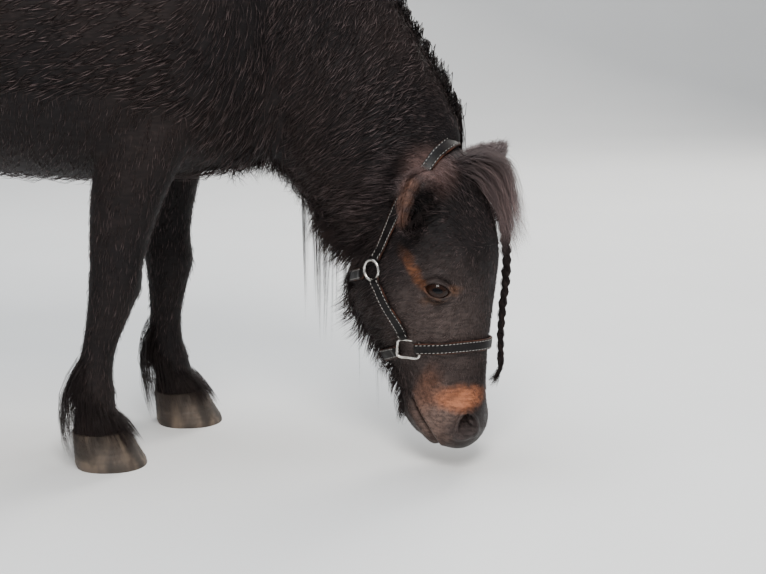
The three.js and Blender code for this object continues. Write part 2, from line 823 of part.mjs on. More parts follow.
// A point off the side of a leg or hoof, at a turn from straight back
function besideLeg(line, x, y, z, turn, off) {
  const t = clamp((hoofHeight - z) / hoofHeight, 0, 1);
  const [shift, long, wide] = line(Math.max(z, hoofHeight + gap));
  return vec(
    x + shift + mix(0, 15, t) - Math.cos(turn) * (long + mix(0, 12, t) + off),
    y + Math.sin(turn) * (wide + mix(0, 9, t) + off),
    z,
  );
}
// Feather: long hair that falls from the fetlock and pastern over the hoof
function featherLocks(line, x, y) {
  return spaced(8, (t) => {
    const turn = mix(-2.75, 2.75, t) + roll(-0.1, 0.1);
    const back = 0.5 + 0.5 * Math.cos(turn);
    const high = mix(72, 132, back) + roll(-6, 6);
    const tip = mix(36, 15, back) + roll(-4, 8);
    const places = [
      besideLeg(line, x, y, high, turn, -8),
      besideLeg(line, x, y, mix(high, tip, 0.35), turn, 5 + 6 * back),
      besideLeg(line, x, y, mix(high, tip, 0.72), turn, 8 + 7 * back),
      besideLeg(line, x, y, tip, turn + roll(-0.12, 0.12), 8 + 3 * back),
    ];
    const out = vec(-Math.cos(turn), Math.sin(turn), 0);
    return lockForm(places, roll(10, 13), 3.2, out, 0, 3);
  });
}

// Hair below the jaw and chin hangs down and back.
const beard = spaced(13, (t) => {
  const u = mix(196, 345, t) + roll(-4, 4);
  const jaw = headLine(u)[1];
  const s = roll(-24, 24) * mix(1, 0.6, t);
  const length = roll(24, 40);
  const places = [
    headAt(u - 4, jaw + 24, s * 0.8),
    headAt(u + 2, jaw - 4, s),
    headAt(u + length * 0.5, jaw - 14, s),
    headAt(u + length * 1.1, jaw - 12 - length * 0.25, s + roll(-5, 5)),
  ];
  return lockForm(places, roll(8, 12), 3.4, headLeft, roll(-0.9, 0.9), 3);
});
// Hair below the throat and neck
const throat = spaced(7, (t) => {
  const [, , ux, uz, y] = neckLine(mix(0.3, 0.78, t));
  const side = roll(-26, 30);
  const length = roll(30, 58);
  const places = [
    vec(ux - 4, y + side * 0.8, uz + 22),
    vec(ux, y + side, uz - 6),
    vec(ux + roll(-4, 6), y + side, uz - length * 0.6),
    vec(ux + roll(-10, 10), y + side + roll(-6, 6), uz - length),
  ];
  return lockForm(places, roll(9, 13), 3.6, vec(0, 1, 0), roll(-0.9, 0.9), 3);
});

const grownHead = onHeadSide(grownFlesh);
const grownTrunk = onTrunkSide(grownFlesh);
const grownNeck = onNeckSide(grownFlesh);

const earSolids = {};
for (const [side, [base, axis, opening]] of Object.entries(ears)) {
  const shell = solidOf(earForm(base, axis, opening, false));
  const cup = solidOf(earForm(base, axis, opening, true));
  earSolids[side] = shell.subtract(cup);
}
const earKeep = Object.values(ears).map(([base, axis, opening]) => {
  const wider = formed(10, 6, (t, left, up) => {
    const along = axis.clone().normalize();
    const front = opening.clone().projectOnPlane(along).normalize();
    const side = front.clone().cross(along);
    const [wide, deep] = earLine(t);
    const bow = 9 * t * t;
    const end = t < 0.001 ? -2 : t > 0.999 ? 2 : 0;
    return base
      .clone()
      .addScaledVector(along, t * axis.length() + end)
      .addScaledVector(side, left * (wide + 2))
      .addScaledVector(front, up * (deep + 2) + bow);
  });
  return solidOf(wider);
});

const hairSolids = (forms) => joined(forms.map(solidOf));

let head = onHeadSide(flesh);
for (const part of Object.values(eyes)) {
  head = head.add(part.lids).subtract(part.socket);
}
head = head
  .subtract(solidOf(mouthForm()))
  .subtract(solidOf(nostrilForm(1)))
  .subtract(solidOf(nostrilForm(-1)));
const headHair = hairSolids([...forelock, ...plait, ...beard, ...manePoll]);
head = head.add(headHair.subtract(grownNeck).subtract(joined(earKeep)).subtract(beds));

const neckHair = hairSolids([...maneNeck, ...bristles, ...throat]);
const neck = onNeckSide(flesh).add(
  neckHair.subtract(grownHead).subtract(grownTrunk).subtract(beds).subtract(joined(earKeep)),
);
const torso = onTrunkSide(flesh).add(hairSolids(maneWithers).subtract(grownNeck));

addNode("torso", torso, materials.coat);
addNode("neck", neck.subtract(headHair), materials.coat);
addNode("head", head, materials.coat);
for (const [side, part] of Object.entries(eyes)) {
  addNode(`eye_${side}`, part.ball, materials.eye);
}
for (const [side, solid] of Object.entries(earSolids)) {
  addNode(`ear_${side}`, solid.subtract(grownFlesh).subtract(beds), materials.coat);
}
const tail = solidOf(tailCore).add(hairSolids(tailLocks)).subtract(grownTrunk);
addNode("tail", tail, materials.hair);
for (const [name, line, x, y, topX, topY] of legs) {
  const [normal, point] = legPlane(name, y);
  const leg = beyond(solidOf(legForm(line, [x, y], [topX, topY], 0)), normal, point);
  const feather = hairSolids(featherLocks(line, x, y));
  addNode(`leg_${name}`, leg.subtract(grownTrunk).add(feather), materials.coat);
  const [shift] = line(hoofHeight);
  const hoof = formed(18, 2, (t, left, up) => {
    const long = mix(38, 50, t);
    const wide = mix(34, 43, t);
    return vec(
      x + shift + mix(0, 15, t) + squared(up, 2.2) * long,
      y + squared(left, 2.2) * wide,
      mix(hoofHeight, 0, t),
    );
  });
  addNode(`hoof_${name}`, solidOf(hoof), materials.horn);
}
for (const name of Object.keys(straps)) {
  addNode(name, strapSolid(name).subtract(grownFlesh).subtract(grownRings), materials.leather);
}
for (const name of Object.keys(rings)) {
  addNode(name, ringSolid(name).subtract(grownFlesh), materials.steel);
}

// The origin goes under the middle of the whole pony, on the ground.
const span = new THREE.Box3().setFromObject(pony, true);
const middle = span.getCenter(vec(0, 0, 0));
pony.position.set(-middle.x, -middle.y, 0);

export default pony;
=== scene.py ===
# A grazing Shetland pony in a leather headcollar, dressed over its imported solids
import bpy
import math
import numpy as np
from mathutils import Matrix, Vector
from mathutils.bvhtree import BVHTree


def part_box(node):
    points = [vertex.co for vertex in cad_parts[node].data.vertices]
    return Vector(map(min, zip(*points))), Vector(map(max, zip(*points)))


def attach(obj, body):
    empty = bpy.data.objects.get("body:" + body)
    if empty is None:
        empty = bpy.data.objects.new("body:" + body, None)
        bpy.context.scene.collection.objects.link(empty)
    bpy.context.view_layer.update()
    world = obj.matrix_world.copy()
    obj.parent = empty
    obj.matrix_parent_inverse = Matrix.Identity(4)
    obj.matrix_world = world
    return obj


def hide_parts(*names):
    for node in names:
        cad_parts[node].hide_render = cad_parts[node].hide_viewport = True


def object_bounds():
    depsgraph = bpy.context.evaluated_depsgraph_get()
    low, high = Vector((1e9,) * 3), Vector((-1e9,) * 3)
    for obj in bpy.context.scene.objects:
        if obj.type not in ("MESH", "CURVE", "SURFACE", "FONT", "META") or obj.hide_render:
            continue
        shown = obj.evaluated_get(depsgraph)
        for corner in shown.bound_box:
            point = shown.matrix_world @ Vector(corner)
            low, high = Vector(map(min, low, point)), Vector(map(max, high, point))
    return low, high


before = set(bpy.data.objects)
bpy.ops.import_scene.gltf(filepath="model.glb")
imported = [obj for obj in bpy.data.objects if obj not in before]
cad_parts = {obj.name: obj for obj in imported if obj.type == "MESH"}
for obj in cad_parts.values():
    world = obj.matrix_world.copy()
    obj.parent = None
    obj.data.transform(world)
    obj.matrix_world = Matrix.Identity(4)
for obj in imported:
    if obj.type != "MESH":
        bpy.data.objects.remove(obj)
cadBox = [list(corner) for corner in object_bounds()]
print("frame loaded")

# The source's own measures are in millimetres from a point that a hoof gives
hoofLow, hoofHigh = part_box("hoof_front_left")
origin = np.array([(hoofLow.x + hoofHigh.x) / 2 - 0.170, (hoofLow.y + hoofHigh.y) / 2 - 0.086, 0.0])
dice = np.random.default_rng(7)


def toScene(points):
    return np.asarray(points, float) / 1000 + origin


def toMm(points):
    return (np.asarray(points, float) - origin) * 1000


def unit(v):
    return v / np.maximum(np.linalg.norm(v, axis=-1, keepdims=True), 1e-9)


def mix(a, b, t):
    return a + (b - a) * t


def smooth(v, low, high):
    s = np.clip((v - low) / (high - low), 0, 1)
    return s * s * (3 - 2 * s)


def squared(v, power):
    return np.sign(v) * np.abs(v) ** (2 / power)


def track(rows):  # smooth values through keys, each a position followed by its values
    keys = np.array(sorted(rows), float)
    at, rest = keys[:, 0], keys[:, 1:]
    last = len(at) - 1
    slope = np.array([
        (rest[min(i + 1, last)] - rest[max(i - 1, 0)]) / (at[min(i + 1, last)] - at[max(i - 1, 0)])
        for i in range(last + 1)
    ])

    def value(t):
        p = np.clip(np.asarray(t, float), at[0], at[-1])
        i = np.clip(np.searchsorted(at, p, side="right") - 1, 0, last - 1)
        h = (at[i + 1] - at[i])[..., None]
        s = ((p - at[i])[..., None]) / h
        bow = (1 - s) * slope[i] * h * s * (1 - s) - s * slope[i + 1] * h * s * (1 - s)
        return np.moveaxis(rest[i] + (rest[i + 1] - rest[i]) * s * s * (3 - 2 * s) + bow, -1, 0)

    return value


def startPiece(name, add, **options):  # one of Blender's own objects, with nothing else selected
    bpy.ops.object.select_all(action="DESELECT")
    add(**options)
    piece = bpy.context.object
    piece.name = name
    return piece


def aimAlong(way):
    return way.to_track_quat("-Z", "Y").to_euler()


# Camera at the photograph's angle, first, so that all else is seen from it
camera = {"turn": -6, "tilt": 13, "distance": 1.9, "lens": 66.5, "target": (440, -130, 249)}
turn, tilt = math.radians(camera["turn"]), math.radians(camera["tilt"])
forward = Vector((-math.sin(turn) * math.cos(tilt), math.cos(turn) * math.cos(tilt), -math.sin(tilt)))
target = Vector(toScene(camera["target"]))
eyepiece = startPiece("viewpoint", bpy.ops.object.camera_add, location=target - forward * camera["distance"])
eyepiece.rotation_euler = aimAlong(forward)
eyepiece.data.lens = camera["lens"]
eyepiece.data.sensor_width = 36
eyepiece.data.clip_start = 0.05
bpy.context.scene.camera = eyepiece

# Light: an even pale sky and three large soft lamps
sky = bpy.data.worlds.new("paleSky")
sky.use_nodes = True
sky.node_tree.nodes["Background"].inputs["Color"].default_value = (0.88, 0.90, 0.95, 1)
sky.node_tree.nodes["Background"].inputs["Strength"].default_value = 0.42
bpy.context.scene.world = sky
lampTarget = Vector((0.2, 0, 0.4))
lamps = {
    "keyLamp": {"at": (0.2, -2.6, 3.0), "power": 175, "size": 1.5, "tone": (1.0, 0.98, 0.95)},
    "skyLamp": {"at": (-0.4, 0.3, 3.6), "power": 120, "size": 2.4, "tone": (0.86, 0.93, 1.0)},
    "rimLamp": {"at": (2.2, 2.4, 2.2), "power": 90, "size": 1.6, "tone": (1.0, 0.97, 0.92)},
}
for lampName, lamp in lamps.items():
    light = startPiece(lampName, bpy.ops.object.light_add, type="AREA", location=lamp["at"])
    light.data.energy, light.data.size, light.data.color = lamp["power"], lamp["size"], lamp["tone"]
    light.rotation_euler = aimAlong(lampTarget - Vector(lamp["at"]))
print("camera and light")


# Materials
def setInputs(tree, node, values):  # each value is another node's socket or a plain value
    for key, value in values.items():
        if hasattr(value, "is_linked"):
            tree.links.new(value, node.inputs[key])
        else:
            node.inputs[key].default_value = value


def newMaterial(name):
    material = bpy.data.materials.new(name)
    material.use_nodes = True
    return material, material.node_tree, material.node_tree.nodes["Principled BSDF"]


def addNode(tree, kind, **values):
    node = tree.nodes.new("ShaderNode" + kind)
    for key, value in values.items():
        if hasattr(node, key):
            setattr(node, key, value)
        else:
            setInputs(tree, node, {key: value})
    return node


def placeOf(tree):
    return addNode(tree, "TexCoord").outputs["Object"]


def reckon(tree, operation, *values, kind="VectorMath"):
    node = addNode(tree, kind, operation=operation)
    setInputs(tree, node, dict(enumerate(values)))
    return node.outputs["Value" if kind == "Math" or operation in ("DOT_PRODUCT", "LENGTH") else "Vector"]


def combined(tree, *values):
    node = addNode(tree, "CombineXYZ")
    setInputs(tree, node, dict(enumerate(values)))
    return node.outputs[0]


def blendColours(tree, factor, under, over, mode="MIX"):
    node = addNode(tree, "Mix", data_type="RGBA", blend_type=mode)
    under, over = (colour if hasattr(colour, "is_linked") else (*colour, 1) for colour in (under, over))
    setInputs(tree, node, {"Factor": factor, 6: under, 7: over})
    return node.outputs[2]


def rangeOf(tree, value, low, high, to=(0, 1)):
    node = addNode(tree, "MapRange", interpolation_type="SMOOTHSTEP")
    setInputs(tree, node, {"Value": value, "From Min": low, "From Max": high, "To Min": to[0], "To Max": to[1]})
    return node.outputs["Result"]


def noiseOf(tree, vector, scale, detail=3, stretch=None, output="Fac"):
    if stretch is not None:
        vector = addNode(tree, "Mapping", Vector=vector, Rotation=stretch[0], Scale=stretch[1]).outputs["Vector"]
    return addNode(tree, "TexNoise", Vector=vector, Scale=scale, Detail=detail).outputs[output]


def cellsOf(tree, vector, scale):
    return addNode(tree, "TexVoronoi", Vector=vector, Scale=scale).outputs["Distance"]


def bumpOf(tree, height, strength, distance):
    return addNode(tree, "Bump", Height=height, Strength=strength, Distance=distance).outputs[0]


# The head's own directions: down to the lips, out to the front, out to the left
poll = np.array([521, -98, 408.0])
headDown = unit(np.array([0.05, -0.13, -0.988]))
headFront = np.array([math.cos(0.4), -math.sin(0.4), 0])
headFront = unit(headFront - headDown * headFront.dot(headDown))
headLeft = np.cross(headFront, headDown)
headShare = 386 / 400
sides = {"right": -1, "left": 1}


def headAt(u, f, s):
    u, f, s = np.broadcast_arrays(np.asarray(u, float), f, s)
    return poll + u[..., None] * headShare * headDown + f[..., None] * headFront + s[..., None] * headLeft


def headLocal(points):
    away = points - poll
    return away @ headDown / headShare, away @ headFront, away @ headLeft


ears = {  # the root, the way to the tip and the way that the cup opens
    "right": (headAt(24, 2, -42), np.array([-56, -68, -46.0]), np.array([0.76, -0.62, 0.06])),
    "left": (headAt(22, 22, 32), np.array([64, 78, 40.0]), np.array([0.5, 0.1, -0.8])),
}
darkCoat, warmCoat = (0.0065, 0.0050, 0.0054), (0.0150, 0.0100, 0.0092)
marks = [  # down, front and aside on the head, radii, softness, turn, colour and strength
    ((222, -2, 60), (82, 60, 62), 0.7, 0, (0.072, 0.053, 0.048), 0.85),
    ((142, -19, 86), (31, 6.0, 30), 0.8, 0.52, (0.125, 0.047, 0.020), 0.85),
    ((168, 27, 70), (7, 9, 15), 0.6, 0, (0.13, 0.066, 0.040), 0.8),
    ((181, 2, 78), (4.5, 17, 18), 0.6, 0, (0.085, 0.045, 0.028), 0.7),
    ((346, -14, 40), (40, 32, 60), 0.6, 0, (0.165, 0.108, 0.088), 0.8),
    ((323, 17, 36), (15, 33, 34), 0.6, 0, (0.37, 0.138, 0.068), 0.92),
    ((308, -26, 42), (30, 13, 26), 0.8, -0.35, (0.14, 0.062, 0.038), 0.65),
    ((366, 22, 40), (18, 24, 26), 0.6, 0, (0.055, 0.042, 0.040), 0.8),
]


def earMarksAndPaintedLight():  # places in millimetres on the whole pony, with radius, softness and colour
    base, axis, _ = ears["left"]
    # painted light: the far ear is tinted paler for the light that falls on it
    rows = [(base + axis * 0.6, 46, 0.4, (0.066, 0.048, 0.049))]
    base, axis, opening = ears["right"]
    rim = unit(np.cross(unit(axis), opening))
    rim = rim if rim[2] > 0 else -rim
    return [
        (base + axis * 0.05 + rim * 20, 32, 0.6, (0.105, 0.063, 0.056)),
        # painted shade: a near-black spot deep in the near ear's cup, where the hollow lies in shadow
        (base + axis * 0.5 - rim * 6 + unit(opening) * 6, 25, 0.35, (0.0020, 0.0016, 0.0018)),
        (base + axis * 0.52 + rim * 32, 11, 0.7, (0.11, 0.056, 0.040)),
        (base + axis * 0.74 + rim * 25, 12, 0.6, (0.12, 0.062, 0.044)),
        (base + axis * 0.93 + rim * 11, 12, 0.6, (0.11, 0.056, 0.040)),
    ] + rows


def addCoatMarksAndPaintedLight():
    tree = bpy.data.node_groups.new("coatMarksAndPaintedLight", "ShaderNodeTree")
    for socketName, kind in (("Color", "NodeSocketColor"), ("Bare", "NodeSocketFloat")):
        tree.interface.new_socket(name=socketName, in_out="OUTPUT", socket_type=kind)
    place = placeOf(tree)
    ragged = noiseOf(tree, place, 70.0, 3.0, output="Color")
    shift = reckon(tree, "MULTIPLY_ADD", ragged, (0.016, 0.016, 0.016), (-0.008, -0.008, -0.008))
    away = reckon(tree, "SUBTRACT", reckon(tree, "ADD", place, shift), toScene(poll))
    down, front, left = (reckon(tree, "DOT_PRODUCT", away, way) for way in (headDown / headShare, headFront, headLeft))
    local = combined(tree, down, front, reckon(tree, "ABSOLUTE", left, kind="Math"))

    def spot(source, centre, radii, soft, roll=0):
        mapping = addNode(tree, "Mapping", vector_type="TEXTURE", Vector=source, Rotation=(0, 0, roll),
                          Location=[v / 1000 for v in centre], Scale=[v / 1000 for v in radii])
        return rangeOf(tree, reckon(tree, "LENGTH", mapping.outputs[0]), 1 + soft, 1 - soft)

    broad, fine = noiseOf(tree, place, 5.0, 4), noiseOf(tree, place, 160.0, 2)
    colour = blendColours(tree, rangeOf(tree, broad, 0.35, 0.7), darkCoat, warmCoat)
    colour = blendColours(tree, rangeOf(tree, fine, 0.5, 0.8, (0, 0.5)), colour, (0.030, 0.0205, 0.019))
    for centre, radii, soft, roll, tint, strength in marks:
        mask = reckon(tree, "MULTIPLY", spot(local, centre, radii, soft, roll), strength, kind="Math")
        colour = blendColours(tree, mask, colour, tint)
    # Ear spots: brown rim strips on the near ear, painted shade in its cup and painted light on the far ear
    for at, radius, soft, tint in earMarksAndPaintedLight():
        colour = blendColours(tree, spot(place, toScene(at) * 1000, (radius,) * 3, soft), colour, tint)
    bare = spot(local, (372, 0, 0), (44, 70, 70), 0.3)
    setInputs(tree, tree.nodes.new("NodeGroupOutput"), {"Color": colour, "Bare": bare})
    return tree


coatMarksAndPaintedLight = addCoatMarksAndPaintedLight()


def skinMaterial():
    material, tree, shader = newMaterial("ponySkin")
    marked = addNode(tree, "Group", node_tree=coatMarksAndPaintedLight).outputs
    place = placeOf(tree)
    streaks = noiseOf(tree, place, 300.0, 2, ((0, 0.35, 0), (0.14, 1, 1)))
    height = addNode(tree, "Mix", data_type="FLOAT")
    setInputs(tree, height, {0: marked["Bare"], 2: streaks, 3: cellsOf(tree, place, 900.0)})
    between = rangeOf(tree, streaks, 0.35, 0.65, (0.55, 0))
    setInputs(tree, shader, {
        "Base Color": blendColours(tree, between, marked["Color"], (0.004, 0.003, 0.003)),
        "Roughness": rangeOf(tree, marked["Bare"], 0, 1, (0.65, 0.42)),
        "Specular IOR Level": 0.14,
        "Normal": bumpOf(tree, height.outputs[0], 0.6, 0.0012),
    })
    return material


def hairMaterial(name, root, tip):  # without a root colour, the coat's own marks are under the tip
    material, tree, shader = newMaterial(name)
    tone, along = (addNode(tree, "Attribute", attribute_name=key).outputs["Fac"] for key in ("tone", "along"))
    base = root or addNode(tree, "Group", node_tree=coatMarksAndPaintedLight).outputs["Color"]
    # Paler tips on a share of the hairs, chosen by tone: partly the hair's own paler ends, partly painted sheen streaks
    light = blendColours(tree, rangeOf(tree, along, 0.2, 1.0), base, tip, "MIX" if root else "ADD")
    paleTipAndSheenShare = reckon(tree, "POWER", tone, 2.4, kind="Math")
    setInputs(tree, shader, {
        "Base Color": blendColours(tree, paleTipAndSheenShare, base, light),
        "Roughness": rangeOf(tree, tone, 0, 1, (0.42, 0.6)),
        "Specular IOR Level": 0.34,
        "Specular Tint": (0.95, 0.78, 0.74, 1),
    })
    return material


skinLook = skinMaterial()
# Tip colours, and the forelock's paler root colour, are partly the hair's own colour and partly painted sheen for the
# purple-brown highlights
coatLook = hairMaterial("coatHair", None, (0.185, 0.134, 0.132))
foreLook = hairMaterial("forelockHair", (0.046, 0.035, 0.035), (0.36, 0.25, 0.24))
longLook = hairMaterial("longHair", darkCoat, (0.048, 0.029, 0.024))
print("materials")
# Flesh: the same forms as the solids, pressed in by the depth of the coat
torsoLine = track([
    (-584, 728, 668, 20), (-574, 768, 620, 66), (-550, 800, 572, 108), (-505, 834, 530, 146),
    (-440, 866, 498, 176), (-370, 883, 468, 190), (-290, 880, 440, 194), (-210, 868, 420, 194),
    (-130, 857, 402, 200), (-50, 851, 390, 204), (60, 860, 382, 198), (120, 875, 382, 188),
    (165, 884, 384, 178), (215, 874, 388, 162), (260, 843, 394, 144), (300, 790, 404, 120),
    (330, 720, 426, 88), (348, 650, 462, 50), (355, 612, 500, 22),
])
torsoSwells = [(x, side * y, *rest) for x, y, *rest in (
    (205, 170, 590, 95, 16), (-360, 190, 640, 120, 20), (-165, 195, 640, 80, -14), (60, 190, 780, 80, -16),
) for side in (1, -1)] + [(-575, 0, 735, 60, -10)]
neckLine = track([
    (0, 150, 870, 226, 430, 0, 124), (0.2, 250, 842, 284, 404, 0, 130), (0.4, 338, 780, 320, 390, -6, 118),
    (0.6, 416, 696, 343, 368, -22, 103), (0.78, 480, 602, 360, 346, -46, 88), (0.9, 526, 520, 374, 324, -68, 79),
    (1, 552, 452, 390, 302, -88, 71), (1.1, 540, 414, 416, 292, -96, 54),
])
headLine = track([
    (-24, 8, -34, 24, 0, 0), (-12, 30, -46, 42, 0, 0), (10, 46, -58, 56, 0, 0.05), (35, 58, -74, 66, 0, 0.1),
    (65, 66, -94, 74, 0, 0.15), (95, 71, -112, 81, 0, 0.2), (125, 72, -126, 86, 0, 0.26),
    (150, 69, -134, 87, 0.02, 0.3), (175, 65, -134, 83, 0.08, 0.3), (200, 61, -127, 74, 0.16, 0.28),
    (225, 57, -115, 65, 0.22, 0.26), (250, 53, -101, 57, 0.26, 0.24), (280, 49, -85, 50, 0.26, 0.2),
    (310, 46, -73, 46, 0.2, 0.14), (335, 45, -66, 46, 0.12, 0.08), (352, 45, -61, 48, 0.06, 0.1),
    (368, 43, -52, 47, 0.04, 0.12), (381, 38, -41, 42, 0, 0.1), (391, 30, -27, 33, 0, 0), (400, 16, -8, 15, 0, 0),
])
headSwells = [
    (86, 46, 132, 24, 10), (66, -66, 170, 52, 7), (42, 26, 352, 20, 8), (60, 2, 226, 26, 5), (66, 56, 78, 22, -6),
    (50, -26, 290, 36, -4), (0, -58, 345, 20, 6), (26, 4, 384, 16, 3),
]
foreLine = track([
    (570, 34, 52, 22), (510, 26, 66, 40), (455, 14, 66, 50), (400, 4, 57, 47), (330, 0, 45, 39), (280, 2, 38, 35),
    (248, 6, 38, 36), (215, 4, 32, 31), (165, 0, 26, 24), (125, 0, 28, 26), (105, 3, 32, 29), (78, 11, 30, 28),
    (50.3, 19, 38, 34),
])
hindLine = track([
    (740, 40, 84, 34), (670, 36, 112, 56), (600, 26, 128, 69), (520, 12, 116, 70), (455, -2, 88, 60),
    (400, -26, 60, 47), (352, -46, 46, 38), (315, -46, 40, 34), (265, -34, 30, 27), (185, -16, 27, 25),
    (132, -6, 31, 28), (108, 0, 34, 30), (80, 9, 31, 29), (50.3, 18, 38, 34),
])
legs = {
    "front_left": (foreLine, 136, 86, 150, 104), "front_right": (foreLine, 34, -94, 160, -104),
    "hind_left": (hindLine, -462, 92, -452, 102), "hind_right": (hindLine, -392, -96, -446, -102),
}


def swelling(x, y, z, swells):
    total = np.zeros(np.shape(x))
    for cx, cy, cz, reach, amount in swells:
        total += amount * np.exp(-((x - cx) ** 2 + (y - cy) ** 2 + (z - cz) ** 2) / reach**2)
    return total


def torsoPoint(t, left, up, extra):
    x = mix(-584, 355, mix(t, 0.5 - 0.5 * np.cos(np.pi * t), 0.55))
    top, bottom, half = torsoLine(x)
    z = (top + bottom) / 2 + squared(up, 2.15) * (top - bottom) / 2
    breast = 0.34 * smooth(x, 150, 340) * np.maximum(0, -up) ** 1.5
    lean = np.where(up > 0, 1 - 0.16 * up * up, 1 - breast)
    y = squared(left, 2.15) * half * lean
    swell = swelling(x, y, z, torsoSwells) + extra
    return np.stack([x, y + left * swell, z + up * swell], -1)


def neckPoint(t, left, up, extra):
    t = t * 1.09
    cx, cz, ux, uz, y, half = neckLine(t)
    cx2, cz2, ux2, uz2, y2, _ = neckLine(t + 0.01)
    middle = np.stack([(cx + ux) / 2, y, (cz + uz) / 2], -1)
    along = unit(np.stack([(cx2 + ux2) / 2, y2, (cz2 + uz2) / 2], -1) - middle)
    rise = np.stack([cx - ux, np.zeros_like(cx), cz - uz], -1)
    depth = np.linalg.norm(rise, axis=-1) / 2
    rise = unit(rise)
    side = unit(np.cross(rise, along))
    slim = np.where(up > 0, 1 - 0.4 * np.abs(up) ** 1.5, 1 - 0.1 * up * up)
    high = squared(up, 2.1) * depth + up * extra
    wide = squared(left, 2.1) * half * slim + left * extra
    return middle + rise * high[..., None] + side * wide[..., None]


def headPoint(t, left, up, extra):
    u = mix(-24, 400, mix(t, 0.5 - 0.5 * np.cos(np.pi * t), 0.5))
    front, jaw, half, nose, chin = headLine(u)
    slim = np.where(up > 0.1, 1 - nose * (up - 0.1) * 1.4, 1 - chin * ((0.1 - up) / 1.1) ** 2 * 1.5)
    f = (front + jaw) / 2 + squared(up, 2.3) * (front - jaw) / 2
    s = squared(left, 2.3) * half * slim
    swell = swelling(np.abs(s), f, u, headSwells) + extra
    return headAt(u, f + up * swell, s + left * swell)


legTops = {name: 570 if name.startswith("front") else 740 for name in legs}
legFoot, legEase = 46, 0.86


def legPoint(name):
    line, footX, footY, topX, topY = legs[name]

    def place(t, left, up, extra):
        z = mix(legTops[name], legFoot, t**legEase)
        shift, long, wide = line(z)
        x = mix(footX, topX, np.clip((z - 60) / 560, 0, 1)) + shift + squared(up, 2.1) * (long + extra)
        y = mix(footY, topY, smooth(z, 100, 620)) + squared(left, 2.1) * (wide + extra)
        return np.stack([x, y, z], -1)

    return place


def pointsOf(piece):
    co = np.empty(len(piece.data.vertices) * 3)
    piece.data.vertices.foreach_get("co", co)
    return co.reshape(-1, 3)


def setPoints(piece, co):
    piece.data.vertices.foreach_set("co", np.ascontiguousarray(co, dtype=np.float32).ravel())
    piece.data.update()


def normalsOf(piece):
    out = np.empty(len(piece.data.vertices) * 3)
    piece.data.vertex_normals.foreach_get("vector", out)
    return out.reshape(-1, 3)


def faceOutwards(merge=None, fill=False):  # on the active piece
    bpy.ops.object.mode_set(mode="EDIT")
    bpy.ops.mesh.select_all(action="SELECT")
    if merge:
        bpy.ops.mesh.remove_doubles(threshold=merge)
    if fill:
        bpy.ops.mesh.fill_holes(sides=0)
        bpy.ops.mesh.select_all(action="SELECT")
    bpy.ops.mesh.normals_make_consistent(inside=False)
    bpy.ops.object.mode_set(mode="OBJECT")


def rolledGrid(name, columns, rows):  # a grid whose last column will meet its first, with each point's column and row
    piece = startPiece(name, bpy.ops.mesh.primitive_grid_add, x_subdivisions=columns, y_subdivisions=rows - 1, size=1)
    co = pointsOf(piece)
    column = np.rint((co[:, 0] + 0.5) * columns).astype(int) % columns
    return piece, column, np.rint((co[:, 1] + 0.5) * (rows - 1)).astype(int)


def wrapGrid(name, sides, steps, place):  # a grid rolled into a closed tube by place(t, left, up)
    piece = startPiece(name, bpy.ops.mesh.primitive_grid_add, x_subdivisions=sides, y_subdivisions=steps, size=1)
    co = pointsOf(piece)
    angle = (co[:, 0] + 0.5) * 2 * np.pi
    setPoints(piece, toScene(place(np.clip(co[:, 1] + 0.5, 0, 1), np.cos(angle), np.sin(angle))))
    faceOutwards(1e-5, fill=True)
    return piece


def activate(*pieces):
    bpy.ops.object.select_all(action="DESELECT")
    for piece in pieces:
        piece.select_set(True)
    bpy.context.view_layer.objects.active = pieces[0]


def joinPieces(pieces, name):
    activate(*pieces)
    bpy.ops.object.join()
    pieces[0].name = name
    return pieces[0]

coat = {"bodyDepth": 4.5, "faceDepth": 1.6, "legDepth": 3.0, "voxel": 0.006}
forms = [
    wrapGrid("torsoForm", 72, 90, lambda t, l, u: torsoPoint(t, l, u, -coat["bodyDepth"])),
    wrapGrid("neckForm", 64, 60, lambda t, l, u: neckPoint(t, l, u, -coat["bodyDepth"])),
    wrapGrid("headForm", 96, 120, lambda t, l, u: headPoint(t, l, u, -coat["faceDepth"])),
]
for legName in legs:
    at = legPoint(legName)
    forms.append(wrapGrid("legForm", 40, 70, lambda t, l, u: at(t, l, u, -coat["legDepth"])))
skin = joinPieces(forms, "pony_skin")
skin.data.remesh_voxel_size = coat["voxel"]
bpy.ops.object.voxel_remesh()


def relax(piece, times):
    modifier = piece.modifiers.new("relax", "SMOOTH")
    modifier.iterations = times
    modifier.factor = 0.5
    activate(piece)
    bpy.ops.object.modifier_apply(modifier="relax")


def subdivideWhere(piece, chosen):  # one cut of the faces whose corners are all chosen
    activate(piece)
    mesh = piece.data
    mesh.vertices.foreach_set("select", chosen)
    mesh.polygons.foreach_set("select", np.zeros(len(mesh.polygons), bool))
    edges = np.empty(len(mesh.edges) * 2, int)
    mesh.edges.foreach_get("vertices", edges)
    mesh.edges.foreach_set("select", chosen[edges.reshape(-1, 2)].all(1))
    bpy.context.tool_settings.mesh_select_mode = (False, True, False)
    bpy.ops.object.mode_set(mode="EDIT")
    bpy.ops.mesh.subdivide(number_cuts=1, smoothness=0, ngon=False)
    bpy.ops.object.mode_set(mode="OBJECT")
    bpy.context.tool_settings.mesh_select_mode = (True, False, False)


relax(skin, 4)
u, f, s = headLocal(toMm(pointsOf(skin)))
subdivideWhere(skin, (u > -30) & (u < 420) & (f > -150) & (np.abs(s) < 110))
u, f, s = headLocal(toMm(pointsOf(skin)))
subdivideWhere(skin, (u > 296) & (f > -80) & (np.abs(s) < 80))
relax(skin, 2)
print("skin", len(skin.data.polygons), "faces")


